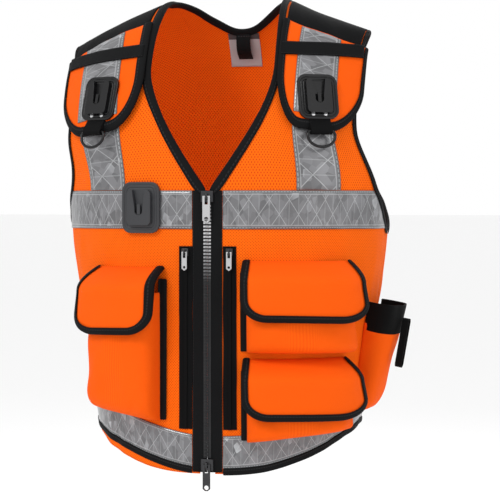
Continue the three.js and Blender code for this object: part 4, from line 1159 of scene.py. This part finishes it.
def make_gusset_binding(name, pocket):
    """The black strip that covers the seam between a pocket's side wall and the panel."""
    side, lift = pocket.side, pocket.lift
    heights = spread(pocket.low + 0.002, pocket.top - 0.012, 50)
    path = [(side * angle_at(pocket.inner, height), height) for height in heights]
    fold_line = ((-0.0075, 0.0), (-0.005, 0.0014), (-0.002, 0.0017), (0.0006, 0.0014), (0.0016, 0.0050))
    def place_at(out):
        return flat_on(lift + out)
    strip = bind_edge(name, path, place_at, -side, "binding", fold_line)
    finish_piece(strip, LOOKS["binding"], "vest", [])


def make_pockets():
    for node, pocket in POCKETS.items():
        make_bag(f"{node}_bag", pocket, node)
        make_pocket_flap(f"{node}_cover", pocket, f"{node}_flap")
        make_gusset_binding(f"{node}_seam", pocket)


# ---- side pouch ----
def make_pouch():
    low, top, depth = POUCH["low"], POUCH["top"], POUCH["depth"]
    lift = 0.0036
    roundness = 2 / 3.4
    def ends(height):
        taper = radians(POUCH["taper"]) * (1 - share_of(height, low, top))
        return radians(POUCH["from"]) + taper, radians(POUCH["to"]) - taper
    def wall(across):
        turn = (1 - across) * pi
        return copysign(abs(cos(turn)) ** roundness, cos(turn)), sin(turn) ** roundness
    def address(across, along):
        height = low + (top - low) * along
        first, last = ends(height)
        return ((first + last) / 2 + (last - first) / 2 * wall(across)[0], height)
    def shell(name, start, end, inset, thickness):
        def cut(across, along):
            return (across * 0.12, along * 0.14)
        def spot(across, share):
            along = start + (end - start) * share
            angle, height = address(across, along)
            outward = wall(across)[1]
            up = share_of(along, 0, 0.3)
            bottom = (1 - (1 - up) ** 2.4) ** (1 / 2.4)
            out = lift + (depth - 0.0025 - lift) * outward * bottom * (0.72 + 0.28 * smooth(along))
            out += 0.0022 * noise.noise(Vector((angle * 12, height * 26, 3))) * outward - inset
            return body_point(angle, height) + body_normal(angle, height) * max(lift, out)
        piece = lay_grid(name, 40, 30, cut, spot)
        soften(piece, thickness, -1)
        return piece
    sleeve = shell("pouch_sleeve", 0, 0.82, 0, 0.0014)
    finish_piece(sleeve, LOOKS["orange"], "vest", ["side_pouch"])
    collar = shell("pouch_collar", 0.74, 1, -0.0009, 0.0016)
    finish_piece(collar, LOOKS["lining"], "vest", [])
    dress_node("pouch_elastic_loop", "lining", 0.0005)


# ---- inside the back neck ----
def make_neck_pieces():
    top = RIDGE - BACK_NECK_DROP - 0.003
    def hang(half, height):
        def address(across, along):
            reach = angle_at(half, CHEST_TOP)
            return (pi + (2 * across - 1) * reach, top - height + height * along)
        return address
    def cut(width, height):
        return lambda across, along: (across * width, along * height)
    label_cut = cut(0.04, 0.042)
    label = lay_sheet("label_cloth", hang(0.020, 0.042), flat_on(-0.0012), 20, 20, label_cut, 0.0005)
    finish_piece(label, LOOKS["label"], "vest", ["care_label"])
    def loop_lift(angle, height):
        bulge = 0.009 * sin(share_of(height, top, top - 0.033) * pi)
        return -0.0024 - bulge
    loop_cut = cut(0.018, 0.05)
    loop = lay_sheet("hanger_strap", hang(0.009, 0.033), on_body(loop_lift), 10, 24, loop_cut, 0.0012)
    finish_piece(loop, LOOKS["webbing"], "vest", ["hanger_loop"])


# ---- floor, light and camera ----
def make_stage():
    clear_selection()
    bpy.ops.mesh.primitive_plane_add(size=80, location=(0, 30, -0.30))
    floor = bpy.context.object
    floor.name = "floor"
    look = new_look("pale floor", (0.92, 0.92, 0.92), 0.95)
    floor.data.materials.append(look)
    world = bpy.data.worlds.new("studio")
    bpy.context.scene.world = world
    world.use_nodes = True
    world.node_tree.nodes["Background"].inputs[0].default_value = (1, 1, 1, 1)
    world.node_tree.nodes["Background"].inputs[1].default_value = 1.0


def add_light(name, location, target, size, power):
    data = bpy.data.lights.new(name, "AREA")
    data.shape = "RECTANGLE"
    data.size = size[0]
    data.size_y = size[1]
    data.energy = power
    lamp = bpy.data.objects.new(name, data)
    bpy.context.scene.collection.objects.link(lamp)
    lamp.location = location
    lamp.rotation_euler = (Vector(target) - Vector(location)).to_track_quat("-Z", "Y").to_euler()


def add_camera():
    turn = radians(12)
    away = Vector((sin(turn), -cos(turn), 0)) * 2.2
    target = Vector((cos(turn), sin(turn), 0)) * 0.0235 + Vector((0, 0, 0.258))
    data = bpy.data.cameras.new("camera")
    camera = bpy.data.objects.new("camera", data)
    bpy.context.scene.collection.objects.link(camera)
    data.angle = radians(16.0)
    camera.location = away + Vector((0, 0, 0.320))
    camera.rotation_euler = (target - camera.location).to_track_quat("-Z", "Y").to_euler()
    bpy.context.scene.camera = camera


for side, hand in SIDES:
    make_front_panel(side, hand)
    make_armhole_binding(side, hand)
    make_yoke(side, hand)
    make_shoulder_flap(side, hand)
make_back_panel()
make_neck_binding()
make_hem_binding()
make_tapes()
make_docks()
make_zips()
make_pockets()
make_pouch()
make_neck_pieces()
make_stage()
add_light("key", (-1.0, -1.9, 1.9), (0, 0, 0.3), (0.7, 0.7), 24)
add_light("fill", (1.9, -1.3, 0.9), (0, 0, 0.3), (1.0, 1.6), 5)
add_light("back", (0.3, 1.8, 1.6), (0, 0, 0.3), (1.6, 1.0), 8)
add_camera()
bpy.context.scene.view_settings.view_transform = "Standard"

bpy.context.view_layer.update()
